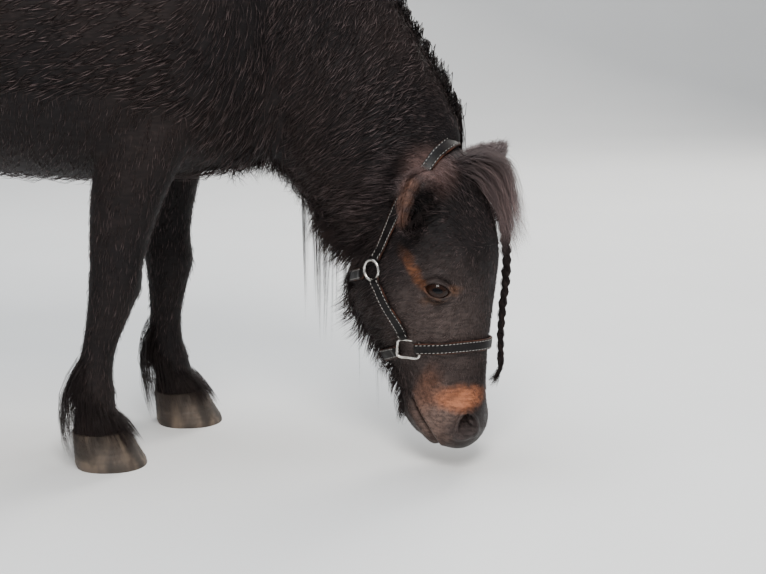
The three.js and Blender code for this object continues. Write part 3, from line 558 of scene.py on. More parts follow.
# Folds, hollows and bones are pressed into the skin along its normals
def nearLine(points, line):  # distance to a bent line
    best = np.full(len(points), 1e9)
    for a, b in zip(line[:-1], line[1:]):
        a, b = np.asarray(a, float), np.asarray(b, float)
        t = np.clip((points - a) @ (b - a) / (b - a).dot(b - a), 0, 1)
        best = np.minimum(best, np.linalg.norm(points - (a + t[:, None] * (b - a)), axis=1))
    return best


def foldAt(points, line, depth, width):
    return depth * np.exp(-((nearLine(points, line) / width) ** 2))


mouthLine = [(319, -54, 0), (342, -43, 0), (362, -31, 0), (377, -24, 0), (387, -20, 0), (391, -19, 0)]
bodyFolds = [  # line on the left or middle, depth outwards, width
    ([(272, 138, 720), (285, 130, 627), (300, 108, 520), (309, 90, 450)], -6, 13),
    ([(330, 0, 640), (338, 0, 520), (330, 0, 430)], -5, 26),
    ([(110, 170, 430), (150, 165, 500), (185, 160, 580)], -5, 22),
    ([(-330, 180, 470), (-300, 190, 560), (-250, 190, 620)], -7, 30),
]
headFolds = [  # down, front and aside on the head
    ([(150, 8, 84), (146, 20, 78)], 3.0, 10),
    ([(120, 30, 66), (120.1, 30, 66)], -4.5, 17),
    ([(188, -18, 76), (215, -6, 66), (246, 2, 56)], 3.0, 9),
    ([(196, 34, 58), (250, 30, 46), (318, 24, 38)], -2.2, 9),
    ([(170, -30, 84), (205, -42, 74), (232, -60, 60)], -1.8, 9),
    ([(338, 30, 26), (330, 10, 40)], 1.8, 10),
    ([(348, -60, 14), (368, -50, 12)], 5.5, 14),
]
lipFolds = [  # moved down and to the front from the line of the mouth, depth, width
    (0, 0, -8.5, 2.6), (-4, 7, 2.6, 4.5), (3, -8, 4.0, 5.5),
]
points = toMm(pointsOf(skin))
u, f, s = headLocal(points)
push = np.zeros(len(points))
for line, depth, width in bodyFolds:
    for side in (-1, 1) if line[0][1] else (1,):
        push += foldAt(points, [(x, side * y, z) for x, y, z in line], depth, width)
faceShare = smooth(u, 20, 60)
for line, depth, width in headFolds:
    push += foldAt(np.stack([u, f, np.abs(s)], 1), line, faceShare * depth, width)
profile = np.stack([u, f, np.zeros_like(u)], 1)
for down, front, depth, width in lipFolds:
    lip = [(a + down, b + front, 0) for a, b, _ in mouthLine]
    push += foldAt(profile, lip, mix(0.35, 1, smooth(np.abs(s), 6, 20)) * depth, width)
x, y, z = points.T
ripple = np.sin(x * 0.021 + 1.7 * np.sin(z * 0.013)) * np.sin(z * 0.017 + y * 0.02)
push += 1.3 * ripple * (1 - faceShare)
setPoints(skin, toScene(points + normalsOf(skin) * push[:, None]))


# Places on the skin are found by lines cast at it from outside
def trianglesOf(piece):
    piece.data.calc_loop_triangles()
    tris = np.empty(len(piece.data.loop_triangles) * 3, int)
    piece.data.loop_triangles.foreach_get("vertices", tris)
    return tris.reshape(-1, 3)


def surfaceTree(piece):
    return BVHTree.FromPolygons(pointsOf(piece).tolist(), trianglesOf(piece).tolist(), all_triangles=True)


skinTree = surfaceTree(skin)


def onSkin(outside, inside):  # where a line towards the inside meets the skin, in millimetres
    a, b = Vector(toScene(outside)), Vector(toScene(inside))
    hit = skinTree.ray_cast(a, (b - a).normalized())
    return None if hit[0] is None else toMm(hit[0])


def onHead(u, f, s):
    inside = headAt(max(u, 16), min(max(f, -50), 5), 0)
    out = unit(headAt(u, f, s) - inside)
    reach = np.linalg.norm(headAt(u, f, s) - inside) + 45
    return onSkin(inside + out * reach, inside), out


# Nostrils: a raised comma-shaped rim round a deep hollow
nostril = {"u": 359, "f": 25, "s": 38, "long": 13.5, "wide": 12.5, "depth": 23, "curl": 0.03, "reach": 34, "bare": 13}
points = toMm(pointsOf(skin))
normals = normalsOf(skin)
nostrilPlaces = []
for sign in sides.values():
    at, out = onHead(nostril["u"], nostril["f"], sign * nostril["s"])
    nostrilPlaces.append(at)
    over = unit(-headDown - out * (-headDown).dot(out))
    side = np.cross(over, out) * -sign
    away = points - at
    a, b = away @ side, away @ over
    b = b + nostril["curl"] * a * a
    ring = np.sqrt((a / nostril["wide"]) ** 2 + (b / nostril["long"]) ** 2)
    close = (np.linalg.norm(away, axis=1) < nostril["reach"]).astype(float)
    rim = (4.6 + 2.4 * np.tanh(-a / 6)) * np.exp(-(((ring - 1.25) / 0.32) ** 2)) * close
    hollow = nostril["depth"] * (1 - smooth(ring, 0.45, 1.08)) * close
    fold = np.exp(-((a - 6.5) ** 2 / 28 + (b + 0.5) ** 2 / 40))
    hollow = hollow * (1 - 0.85 * fold)
    inward = -out * 0.75 - headDown * 0.45
    points += normals * rim[:, None] + unit(inward) * hollow[:, None]
setPoints(skin, toScene(points))

# Eyes: each in its own frame, with lids and folds laid over the skin round it
eye = {"radius": 18, "half": 16.2, "upper": 8.6, "lower": 9.4, "slope": 0.30, "around": 72, "bare": 2.6}
eyeFrames = {}
for side, sign in sides.items():
    middle = headAt(166, 5, sign * 73)
    out = unit(headLeft * sign + headFront * 0.28)
    along = headFront + headDown * eye["slope"]
    along = unit(along - out * along.dot(out))
    over = np.cross(along, out)
    over = -over if over.dot(headDown) > 0 else over
    eyeFrames[side] = (middle, out, along, over)


def eyeOutline(angle, grow=0.0):
    c, s = np.cos(angle), np.sin(angle)
    high = np.where(s > 0, eye["upper"] * np.abs(s) ** 1.25, -eye["lower"] * np.abs(s) ** 1.15)
    wide = eye["half"] * np.sign(c) * np.abs(c) ** 0.92
    reach = np.hypot(wide, high)
    return wide * (1 + grow / reach), high * (1 + grow / reach)



def eyeBall(a, b, radius):  # how far a ball stands out over a place on its eye
    return math.sqrt(max(radius**2 - a * a - b * b, 9))


lidRows = [
    # grow, ball radius, share of the skin's own height, lift above, lift below
    (-0.6, 17.6, 0, 0, 0), (0, 18.4, 0, 0, 0), (0.5, 19.8, 0, 0, 0), (2.4, 20.8, 0.15, 0.6, 0.2),
    (4.8, 21, 0.45, 1.4, 0.4), (6.6, 21, 0.8, -0.4, -0.5), (8, 21, 1, -0.2, -0.7), (10.5, 21, 1, 4.2, 1),
    (13.5, 21, 1, 5, 0.8), (16.5, 21, 1, 2.6, -0.1), (20, 21, 1, 0.6, 0.1), (24, 21, 1, -1.8, -1.8),
]
lidPieces = []
for side, (middle, out, along, over) in eyeFrames.items():
    rows = []
    for grow, radius, share, above, below in lidRows:
        ring = []
        for angle in 2 * np.pi * np.arange(eye["around"]) / eye["around"]:
            a, b = eyeOutline(angle, grow)
            foot = middle + along * a + over * b
            hit = onSkin(foot + out * 60, foot) if share > 0 else None
            ball = eyeBall(a, b, radius)
            surface = ball if hit is None else (hit - foot).dot(out)
            upper = smooth(math.sin(angle), -0.3, 0.5) * (1 - 0.5 * smooth(math.cos(angle), 0.5, 1))
            ring.append(foot + out * (mix(ball, surface, share) + mix(below, above, upper)))
        rows.append(ring)
    lid, column, row = rolledGrid("lid_" + side, eye["around"], len(rows))
    setPoints(lid, toScene(np.array(rows)[row, column]))
    faceOutwards(1e-6)
    if (normalsOf(lid) @ out).mean() < 0:
        bpy.ops.object.mode_set(mode="EDIT")
        bpy.ops.mesh.flip_normals()
        bpy.ops.object.mode_set(mode="OBJECT")
    lidPieces.append(lid)


def eyeGap(points, middle, out, along, over):  # distance past the eye's outline, seen from in front of it
    away = points - middle
    a, b = away @ along, away @ over
    edgeA, edgeB = eyeOutline(np.arctan2(b / eye["lower"], a / eye["half"]))
    return np.hypot(a, b) - np.hypot(edgeA, edgeB), np.hypot(a, b), away @ out


points = toMm(pointsOf(skin))
for middle, out, along, over in eyeFrames.values():
    gap, reach, height = eyeGap(points, middle, out, along, over)
    sink = (1 - smooth(gap, 7, 13)) * (height > -20) * (reach < 50)
    points -= out * (np.maximum(height - 2, 0) * sink)[:, None]
setPoints(skin, toScene(points))
print("eyes and lids")


# Ears: rolled cups, closed at the root and open towards the front
earLine = track([(0, 21, 20), (0.15, 29, 24), (0.4, 36, 23), (0.65, 32, 16), (0.85, 20, 9), (0.95, 10, 5), (1, 2, 2)])


def earPoint(side):
    base, axis, opening = ears[side]
    length = np.linalg.norm(axis)
    along = unit(axis)
    front = unit(opening - along * opening.dot(along))
    across = np.cross(front, along)

    def place(t, left, up):
        share = mix(-0.1, 1, t)
        wide, deep = earLine(share)
        turn = (np.arctan2(up, left) % (2 * np.pi)) / (2 * np.pi)
        outer = turn < 0.5
        swing = np.where(outer, turn * 2, 2 - turn * 2) * 2 - 1
        phi = swing * np.radians(mix(172, 118, smooth(share, 0.05, 0.35)) - 50 * smooth(share, 0.75, 1))
        thin = np.where(outer, 0, 3.0 * (1 - 0.55 * np.abs(swing) ** 4)) * (1 - 0.5 * smooth(share, 0.8, 1))
        x = np.sin(phi) * np.maximum(wide * (1 - 0.1 * np.abs(swing) ** 6) - thin, 0.6)
        y = -np.cos(phi) * np.maximum(deep - thin, 0.6) + 9 * share * share
        return base + share[..., None] * length * along + x[..., None] * across + y[..., None] * front

    return place

earPieces = [wrapGrid("ear_" + side, 64, 40, earPoint(side)) for side in ears]
earCount = sum(len(piece.data.vertices) for piece in earPieces)
skin = joinPieces([skin] + lidPieces + earPieces, "pony_skin")
bpy.ops.object.shade_smooth()
skin.data.materials.clear()
skin.data.materials.append(skinLook)
skin.data.validate()
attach(skin, "root")
fleshNodes = ["torso", "neck", "head", "ear_right", "ear_left"] + ["leg_" + name for name in legs]
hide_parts(*fleshNodes)
print("skin joined", len(skin.data.vertices))


# Headcollar: straps that lie on the skin, each along rough places on the head
strap = {"width": 16.0, "thick": 3.2, "lift": 1.7, "stitchGap": 5.0, "stitchLong": 4.0, "stitchIn": 2.5}


def mirrored(run):  # on to the other side, past a last place in the middle
    return run + [(u, f, -s) for u, f, s in run[-2::-1]]


cheekRun = [(147, -70, -60), (192, -59, -60), (234, -47, -50)]
strapRuns = {
    "strap_cheek_right": cheekRun,
    "strap_cheek_left": [(u, f, -s) for u, f, s in cheekRun],
    "strap_crown": mirrored([(124, -71, -60), (82, -56, -60), (40, -38, -55), (7, -5, -38), (-14, 18, 0)]),
    "strap_throat": mirrored([(140, -88, -57), (148, -121, -26), (151, -131, 0)]),
    "strap_nose": mirrored([(249, -36, -54), (250, 0, -56), (251, 40, -34), (252, 56, 0)]),
    "strap_chin": mirrored([(252, -56, -48), (262, -84, -26), (266, -94, 0)]),
}


def catmull(knots, count):  # an even run of points through knots
    knots = np.asarray(knots, float)
    wide = np.vstack([2 * knots[0] - knots[1], knots, 2 * knots[-1] - knots[-2]])
    dense = []
    for i in range(1, len(wide) - 2):
        p0, p1, p2, p3 = wide[i - 1 : i + 3]
        for t in np.linspace(0, 1, 24, endpoint=False):
            dense.append(0.5 * (2 * p1 + (p2 - p0) * t + (2 * p0 - 5 * p1 + 4 * p2 - p3) * t * t
                                + (3 * p1 - p0 - 3 * p2 + p3) * t**3))
    dense.append(knots[-1])
    dense = np.array(dense)
    far = np.concatenate([[0], np.cumsum(np.linalg.norm(np.diff(dense, axis=0), axis=1))])
    even = np.linspace(0, far[-1], count)
    return np.stack([np.interp(even, far, dense[:, k]) for k in range(dense.shape[1])], 1)


def strapFrames(run, count):
    hits = [onHead(*place) for place in catmull(run, count)]
    at, out = (np.array([hit[i] for hit in hits]) for i in (0, 1))
    for _ in range(16):
        at[1:-1] = mix(at[1:-1], (at[:-2] + at[2:]) / 2, 0.5)
    ahead = unit(np.gradient(at, axis=0))
    out = unit(out - ahead * (out * ahead).sum(1, keepdims=True))
    side = np.cross(out, ahead)
    lanes = np.array([-1, -0.5, 0, 0.5, 1])
    heights = []
    for across in lanes:
        heights.append([])
        for foot, way in zip(at + side * across * strap["width"] / 2, out):
            hit = onSkin(foot + way * 40, foot)
            heights[-1].append(0 if hit is None else np.clip((hit - foot).dot(way), -9, 9))
    heights = np.array(heights).T
    for _ in range(6):
        heights[1:-1] = mix(heights[1:-1], (heights[:-2] + heights[2:]) / 2, 0.5)
    level = np.maximum(heights.max(1) * 0.55 + heights.mean(1) * 0.45, heights[:, 2])
    at = at + out * (level + strap["lift"])[:, None]
    return {"at": at, "ahead": ahead, "out": out, "side": side, "slope": heights @ lanes / 2.5}


def strapThick(end):  # a second layer lies under both ends
    return strap["thick"] * (1 + 0.9 * (1 - smooth(end, 9, 13)))


# The section of a strap, round from the left of its under side: share across, share up
halfSection = [(0.97, 0.12), (1, 0.45), (0.96, 0.8), (0.88, 0.96), (0.74, 1.0), (0.5, 1.07)]
strapSection = [(-0.86, 0), (0.86, 0), *halfSection, (0, 1.12), *((-a, high) for a, high in halfSection[::-1])]


def addStrap(name, run):
    frames = strapFrames(run, max(24, int(6 * len(run))))
    count = len(frames["at"])
    length = np.linalg.norm(np.diff(frames["at"], axis=0), axis=1).sum()
    far = np.linspace(0, length, count)
    end = np.minimum(far, length - far)
    thick = strapThick(end) * np.sqrt(np.clip(1 - (1 - np.minimum(end / 3, 1)) ** 2, 0.2, 1))
    piece, column, row = rolledGrid(name.replace("strap_", "leather_"), len(strapSection), count)
    across, high = np.array(strapSection).T
    reach = across[column] * strap["width"] / 2
    rise = high[column] * thick[row] + reach * frames["slope"][row] / (strap["width"] / 2)
    points = frames["at"][row] + frames["side"][row] * reach[:, None] + frames["out"][row] * rise[:, None]
    setPoints(piece, toScene(points))
    edge = piece.data.attributes.new("edge", "FLOAT", "POINT")
    edge.data.foreach_set("value", np.abs(across[column]).astype(np.float32))
    faceOutwards(1e-6, fill=True)
    modifier = piece.modifiers.new("round", "SUBSURF")
    modifier.levels = modifier.render_levels = 1
    bpy.ops.object.modifier_apply(modifier="round")
    bpy.ops.object.shade_smooth()
    piece.data.materials.append(leatherLook)
    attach(piece, "root")
    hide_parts(name)
    return frames, far, length


def leatherMaterial():
    material, tree, shader = newMaterial("blackLeather")
    place = placeOf(tree)
    edge = addNode(tree, "Attribute", attribute_name="edge").outputs["Fac"]
    worn = noiseOf(tree, place, 55.0, 5)
    rubbed = reckon(tree, "MULTIPLY", rangeOf(tree, edge, 0.78, 0.97), rangeOf(tree, worn, 0.36, 0.62), kind="Math")
    colour = blendColours(tree, rangeOf(tree, worn, 0.4, 0.7), (0.0045, 0.0038, 0.0038), (0.010, 0.008, 0.008))
    padding = rangeOf(tree, edge, 0.58, 0.74, (1.0, 0.0))
    height = reckon(tree, "MULTIPLY_ADD", cellsOf(tree, place, 650.0), 0.35, padding, kind="Math")
    setInputs(tree, shader, {
        "Base Color": blendColours(tree, rubbed, colour, (0.075, 0.028, 0.016)),
        "Roughness": rangeOf(tree, worn, 0.3, 0.75, (0.36, 0.58)),
        "Specular IOR Level": 0.13,
        "Normal": bumpOf(tree, height, 0.5, 0.0006),
    })
    return material


def threadMaterial():
    material, tree, shader = newMaterial("paleThread")
    uneven = noiseOf(tree, placeOf(tree), 130.0, 3)
    colour = blendColours(tree, uneven, (0.40, 0.38, 0.355), (0.18, 0.168, 0.155))
    setInputs(tree, shader, {"Base Color": colour, "Roughness": 0.75})
    return material


def metalMaterial():
    material, tree, shader = newMaterial("nickelPlate")
    place = placeOf(tree)
    dull = noiseOf(tree, place, 90.0, 5)
    scratches = noiseOf(tree, place, 700.0, 2, ((0.4, 0.2, 0.7), (1, 0.1, 1)))
    setInputs(tree, shader, {
        "Base Color": blendColours(tree, rangeOf(tree, dull, 0.45, 0.75), (0.64, 0.62, 0.58), (0.30, 0.27, 0.23)),
        "Roughness": rangeOf(tree, dull, 0.3, 0.8, (0.18, 0.5)),
        "Metallic": 1.0,
        "Normal": bumpOf(tree, scratches, 0.15, 0.0003),
    })
    return material


leatherLook, threadLook, metalLook = leatherMaterial(), threadMaterial(), metalMaterial()
strapFramesOf = {strapName: addStrap(strapName, run) for strapName, run in strapRuns.items()}

# Stitches: one rounded stitch modelled once and copied along both edges of every strap
stitch = startPiece("stitch", bpy.ops.mesh.primitive_uv_sphere_add, segments=6, ring_count=4, radius=0.5)
unitStitch = pointsOf(stitch)
stitchFaces = [list(face.vertices) for face in stitch.data.polygons]
bpy.data.objects.remove(stitch)
stitchPoints, allFaces = [], []
for frames, far, length in strapFramesOf.values():
    for distance in np.arange(6, length - 6, strap["stitchGap"]):
        at, ahead, out, side = (np.array([np.interp(distance, far, frames[key][:, k]) for k in range(3)])
                                for key in ("at", "ahead", "out", "side"))
        slope = np.interp(distance, far, frames["slope"])
        thick = strapThick(min(distance, length - distance))
        lean = ahead + side * 0.12
        for edge in (-1, 1):
            reach = edge * (strap["width"] / 2 - strap["stitchIn"])
            middle = at + side * reach + out * (thick * 1.03 + reach * slope / (strap["width"] / 2))
            start = len(stitchPoints) * len(unitStitch)
            stitchPoints.append(middle + unitStitch[:, :1] * strap["stitchLong"] * lean
                                + unitStitch[:, 1:2] * side + unitStitch[:, 2:] * 0.9 * out)
            allFaces += [[start + v for v in face] for face in stitchFaces]
stitchMesh = bpy.data.meshes.new("stitching")
stitchMesh.from_pydata(toScene(np.vstack(stitchPoints)).tolist(), [], allFaces)
stitching = bpy.data.objects.new("stitching", stitchMesh)
bpy.context.scene.collection.objects.link(stitching)
stitchMesh.shade_smooth()
stitchMesh.materials.append(threadLook)
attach(stitching, "root")


# Rings: a torus each, squared off where the real ones are, laid on the head
ringSize = {"tube": 1.9, "lift": 4.4, "raw": 0.2}


def addRing(name, place, toward, halfLong, halfWide, power):
    at, out = onHead(*place)
    long = unit(toward - out * toward.dot(out))
    wide = np.cross(out, long)
    ring = startPiece(name.replace("ring_", "metal_ring_"), bpy.ops.mesh.primitive_torus_add, major_segments=64,
                      minor_segments=14, major_radius=1, minor_radius=ringSize["raw"])
    co = pointsOf(ring)
    turn = np.arctan2(co[:, 1], co[:, 0])
    far = (np.hypot(co[:, 0], co[:, 1]) - 1) / ringSize["raw"]
    high = co[:, 2] / ringSize["raw"]
    x = squared(np.cos(turn), power) * halfLong + np.cos(turn) * far * ringSize["tube"]
    y = squared(np.sin(turn), power) * halfWide + np.sin(turn) * far * ringSize["tube"]
    rise = ringSize["lift"] + high * ringSize["tube"]
    setPoints(ring, toScene(at + long * x[:, None] + wide * y[:, None] + out * rise[:, None]))
    faceOutwards()
    bpy.ops.object.shade_smooth()
    ring.data.materials.append(metalLook)
    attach(ring, "root")
    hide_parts(name)


for side, sign in sides.items():
    addRing("ring_cheek_" + side, (136, -75, sign * 60), headDown, 13.5, 12, 2)
    addRing("ring_nose_" + side, (249, -44, sign * 52), headFront + headDown * 0.12, 15.5, 12, 5.5)
print("headcollar")


# Eyeballs: a dark iris with a level pupil under a clear wet coat
pupil = {"long": 0.0066, "high": 0.0033}


def eyeMaterial(middle, out, along):
    material, tree, shader = newMaterial("wetEye")
    place = placeOf(tree)
    away = reckon(tree, "SUBTRACT", place, toScene(middle))
    across = [reckon(tree, "DOT_PRODUCT", away, way)
              for way in (along / pupil["long"], np.cross(out, along) / pupil["high"])]
    inPupil = rangeOf(tree, reckon(tree, "LENGTH", combined(tree, *across)), 0.9, 1.25, (1, 0))
    atEdge = rangeOf(tree, reckon(tree, "DOT_PRODUCT", away, out / 0.017), 0.62, 0.52)
    colour = blendColours(tree, noiseOf(tree, place, 500.0, 4), (0.022, 0.009, 0.005), (0.008, 0.004, 0.003))
    colour = blendColours(tree, inPupil, colour, (0.002, 0.0022, 0.003))
    setInputs(tree, shader, {
        "Base Color": blendColours(tree, atEdge, colour, (0.03, 0.02, 0.016)),
        "Roughness": 0.18,
        "Specular IOR Level": 0.06,
        "Coat Weight": 0.22,
        "Coat Roughness": 0.03,
    })
    return material


for side, (middle, out, along, over) in eyeFrames.items():
    ball = startPiece("eyeball_" + side, bpy.ops.mesh.primitive_uv_sphere_add, segments=48, ring_count=32, radius=1)
    co = pointsOf(ball)
    bulge = 1 + 0.05 * smooth(co[:, 2], 0.72, 0.95)
    co *= (bulge * eye["radius"])[:, None]
    setPoints(ball, toScene(middle + co[:, :1] * along + co[:, 1:2] * np.cross(out, along) + co[:, 2:] * out))
    bpy.ops.object.shade_smooth()
    ball.data.materials.append(eyeMaterial(middle, out, along))
    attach(ball, "root")
    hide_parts("eye_" + side)
print("eyeballs")


# Hooves: a worn wall with rings of growth over a slightly flared sole
horn = {"top": 50, "shift": 15, "long": (36.6, 49.6), "wide": (32.8, 42.7), "foot": -0.44, "cuts": 17, "gap": 0.05}


def hornMaterial():
    material, tree, shader = newMaterial("hoofHorn")
    place = placeOf(tree)
    stripes = noiseOf(tree, place, 60.0, 3, ((0, 0, 0), (1, 1, 0.09)))
    rings = noiseOf(tree, place, 120.0, 2, ((0, 0.05, 0), (0.05, 0.05, 1)))
    dirt = noiseOf(tree, place, 30.0, 5)
    colour = blendColours(tree, rangeOf(tree, stripes, 0.35, 0.65), (0.12, 0.088, 0.062), (0.034, 0.023, 0.017))
    colour = blendColours(tree, rangeOf(tree, rings, 0.4, 0.7, (0, 0.5)), colour, (0.075, 0.055, 0.042))
    setInputs(tree, shader, {
        "Base Color": blendColours(tree, rangeOf(tree, dirt, 0.42, 0.62, (0, 0.85)), colour, (0.028, 0.021, 0.016)),
        "Roughness": rangeOf(tree, dirt, 0.3, 0.7, (0.45, 0.75)),
        "Normal": bumpOf(tree, rings, 0.5, 0.0009),
    })
    return material


hornLook = hornMaterial()
for legName, (line, footX, footY, topX, topY) in legs.items():
    shift = float(line(horn["top"])[0])
    hoof = startPiece("horn_" + legName, bpy.ops.mesh.primitive_cylinder_add, vertices=64, radius=1, depth=1)
    bpy.ops.object.mode_set(mode="EDIT")
    for k in range(horn["cuts"]):
        bpy.ops.mesh.select_all(action="SELECT")
        bpy.ops.mesh.bisect(plane_co=(0, 0, horn["foot"] + (k + 1) * horn["gap"]), plane_no=(0, 0, 1))
    bpy.ops.object.mode_set(mode="OBJECT")
    co = pointsOf(hoof)
    t = 0.5 - co[:, 2]
    ring = 1 + 0.010 * np.sin(t * 46) * smooth(t, 0.05, 0.2) * (1 - smooth(t, 0.85, 0.95))
    foot = 1 - 0.035 * smooth(t, 0.94, 1)
    long, wide = (mix(*horn[key], t) * ring * foot for key in ("long", "wide"))
    reach = np.hypot(co[:, 0], co[:, 1])
    c, s = co[:, 0] / np.maximum(reach, 1e-6), co[:, 1] / np.maximum(reach, 1e-6)
    setPoints(hoof, toScene(np.stack([
        footX + shift + mix(0, horn["shift"], t) + squared(c, 2.2) * long * reach,
        footY + squared(s, 2.2) * wide * reach,
        mix(horn["top"], 0, t),
    ], 1)))
    faceOutwards()
    bpy.ops.object.shade_smooth_by_angle(angle=0.9)
    hoof.data.materials.append(hornLook)
    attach(hoof, "root")
    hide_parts("hoof_" + legName)
print("hooves")


# Hair: many closed three-sided strands in one mesh, each with a patch of the skin's unwrap
neckWay = np.array([0.62, 0, -0.78])  # down the neck, from the withers to the throat


def partOf(points):  # 0 torso, 1 neck, 2 head, 3 to 6 legs
    part = np.zeros(len(points), int)
    part[(points - (268, 0, 850)) @ np.array([450, 0, 62.0]) > 0] = 1
    part[(part == 1) & ((points - (518, 0, 524)) @ np.array([206, 0, -142.0]) > 0)] = 2
    for i, name in enumerate(legs):
        y = points[:, 1] * (1 if name.endswith("left") else -1)
        limit = 398 + 0.9 * (y - 45) if name.startswith("front") else 445 + 0.5 * (y - 40)
        near = (np.abs(points[:, 0] - legs[name][3]) < 240) & (y > 12) & (points[:, 2] < limit)
        part[near & (part == 0)] = 3 + i
    return part


chartShare = 0.46  # of the unwrap's width and height, for each large part


def skinChart(points):  # an unwrap of the skin: each part rolled off round its own axis
    part = partOf(points)
    x, y, z = points.T
    u, f, s = headLocal(points)
    chart = np.zeros((len(points), 2))
    down = np.clip((points @ neckWay + 430) / 620, 0, 1)
    strips = [  # corner on the chart, share along and turn
        (0.02, 0.52, (x + 600) / 1000, np.arctan2(y, z - 640)),
        (0.52, 0.52, down, np.arctan2(y + 60 * down, points @ np.array([0.78, 0, 0.62]) - 640)),
        (0.02, 0.02, (u + 60) / 480, np.arctan2(s, f + 30)),
    ]
    for i, (left, low, share, turn) in enumerate(strips):
        share, turn = np.clip(share, 0, 1), turn / (2 * np.pi) + 0.5
        strip = np.stack([left + chartShare * share, low + chartShare * turn], 1)
        chart[part == i] = strip[part == i]
    for i, (_, footX, footY, _, _) in enumerate(legs.values()):
        turn = np.arctan2(y - footY, x - footX) / (2 * np.pi) + 0.5
        strip = np.stack([0.52 + 0.12 * i + 0.10 * turn, 0.02 + chartShare * np.clip(z / 600, 0, 1)], 1)
        chart[part == 3 + i] = strip[part == 3 + i]
    return chart


def clumps(points, size):  # a soft uneven field, the same for hairs that stand close together
    waves = np.random.default_rng(11)
    total = np.zeros(len(points))
    for _ in range(14):
        direction = unit(waves.normal(size=3)) * 2 * np.pi / (size * waves.uniform(0.7, 1.5))
        total += np.cos(points @ direction + waves.uniform(0, 6.28))
    return total / 2.65


boxMargin = 0.0004
boxLow, boxHigh = np.array(cadBox[0]) + boxMargin, np.array(cadBox[1]) - boxMargin
pieceLimit = 190000  # triangles
bakePatch = {"wide": 0.0012, "long": 0.003}
hairTone = {"own": 0.6, "least": 0.17, "clump": 0.2, "clumpSizes": (13, 5)}


def addStrands(name, paths, face, width, look, slotName, tone, slim=0.55, taper=0.8):
    total, steps = paths.shape[:2]
    roots = paths[:, 1] if steps > 3 else paths[:, 0]
    chart = skinChart(roots)
    tone = tone * hairTone["own"] + hairTone["least"]
    for size in hairTone["clumpSizes"]:
        tone = tone + hairTone["clump"] * clumps(roots, size)
    tone = np.clip(tone, 0, 1)
    ahead = unit(np.gradient(paths, axis=1))
    side = unit(np.cross(ahead, np.broadcast_to(face[:, None], ahead.shape)))
    over = np.cross(side, ahead)
    t = np.linspace(0, 1, steps)
    size = width[:, None] * (1 - t**2 * 0.55) * mix(1, (1 - t), taper)
    size[:, 0] *= 0.8
    rings = []
    for angle in np.pi / 2 + 2 * np.pi * np.arange(3) / 3:
        rings.append(paths[:, :-1] + side[:, :-1] * (np.cos(angle) * size[:, :-1, None] * 0.5)
                     + over[:, :-1] * (np.sin(angle) * size[:, :-1, None] * 0.5 * slim))
    verts = np.concatenate([np.stack(rings, 2).reshape(total, -1, 3), paths[:, -1:]], 1)
    tip = 3 * (steps - 1)
    faces = [(0, 1, 2)]
    for first in range(0, tip, 3):
        for k in range(3):
            a, b = first + k, first + (k + 1) % 3
            faces += [(a, tip, b)] if first == tip - 3 else [(a, a + 3, b), (b, a + 3, b + 3)]
    faces = np.array(faces)
    v = np.arange(tip + 1)
    level = np.repeat(t, 3)[: tip + 1]
    patch = np.stack([(v % 3 - 1) * bakePatch["wide"], (v // 3 / (steps - 1) - 0.5) * bakePatch["long"]], 1)
    patch[-1] = (0, bakePatch["long"] / 2)
    limit = pieceLimit // len(faces)
    for k, start in enumerate(range(0, total, limit)):
        chosen = slice(start, min(start + limit, total))
        count = chosen.stop - chosen.start
        mesh = bpy.data.meshes.new(name)
        mesh.vertices.add(count * len(v))
        mesh.vertices.foreach_set("co", np.clip(toScene(verts[chosen]), boxLow, boxHigh).astype(np.float32).ravel())
        loops = (faces[None] + (np.arange(count) * len(v))[:, None, None]).reshape(-1)
        mesh.loops.add(len(loops))
        mesh.loops.foreach_set("vertex_index", loops.astype(np.int32))
        mesh.polygons.add(count * len(faces))
        mesh.polygons.foreach_set("loop_start", np.arange(0, len(loops), 3, dtype=np.int32))
        mesh.polygons.foreach_set("use_smooth", np.ones(count * len(faces), bool))
        spots = (chart[chosen][:, None] + patch[None]).reshape(-1, 2)[loops]
        mesh.uv_layers.new(name="OFBake").data.foreach_set("uv", spots.astype(np.float32).ravel())
        for key, values in (("tone", np.repeat(tone[chosen], len(v))), ("along", np.tile(level, count))):
            mesh.attributes.new(key, "FLOAT", "POINT").data.foreach_set("value", values.astype(np.float32))
        mesh.update()
        mesh.materials.append(look)
        piece = bpy.data.objects.new(f"{name}_{k + 1}", mesh)
        bpy.context.scene.collection.objects.link(piece)
        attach(piece, "root")
    print(name, total, "strands", total * len(faces), "triangles")


# Short coat: where it grows, how long it is and which way it lies
fur = {  # tufts for each square metre, length, width, lift, all in millimetres
    "torso": (22500, 21, 1.8, 2.6), "neck": (52000, 23, 1.35, 2.6), "head": (106000, 8.5, 0.85, 0.9),
    "leg": (24000, 15, 1.4, 1.9), "ear": (150000, 19, 0.8, 4.5),
}
growth = {"lowest": 47, "lipGap": 2.5, "muzzle": 372, "muzzleThin": 0.6, "ruffle": 0.16, "depth": 0.8, "quick": 0.35}
onStrap = {"press": 13, "underPoll": 75, "bare": 10, "lift": 0.2, "length": 0.5}
tris = trianglesOf(skin)
skinPoints, skinNormals = toMm(pointsOf(skin)), normalsOf(skin)
onEar = np.arange(len(skinPoints)) >= len(skinPoints) - earCount
furOf = np.array([fur[name] for name in ("torso", "neck", "head", "leg", "leg", "leg", "leg", "ear")])
corners = skinPoints[tris]
middles = corners.mean(1)
part = partOf(middles)
part[onEar[tris[:, 0]]] = 7
area = np.linalg.norm(np.cross(corners[:, 1] - corners[:, 0], corners[:, 2] - corners[:, 0]), axis=1) / 2e6
thickness = furOf[part, 0] * 1
amount = np.floor(area * thickness + dice.random(len(area))).astype(int)
chosen = np.repeat(np.arange(len(tris)), amount)
r1, r2 = np.sqrt(dice.random(len(chosen))), dice.random(len(chosen))
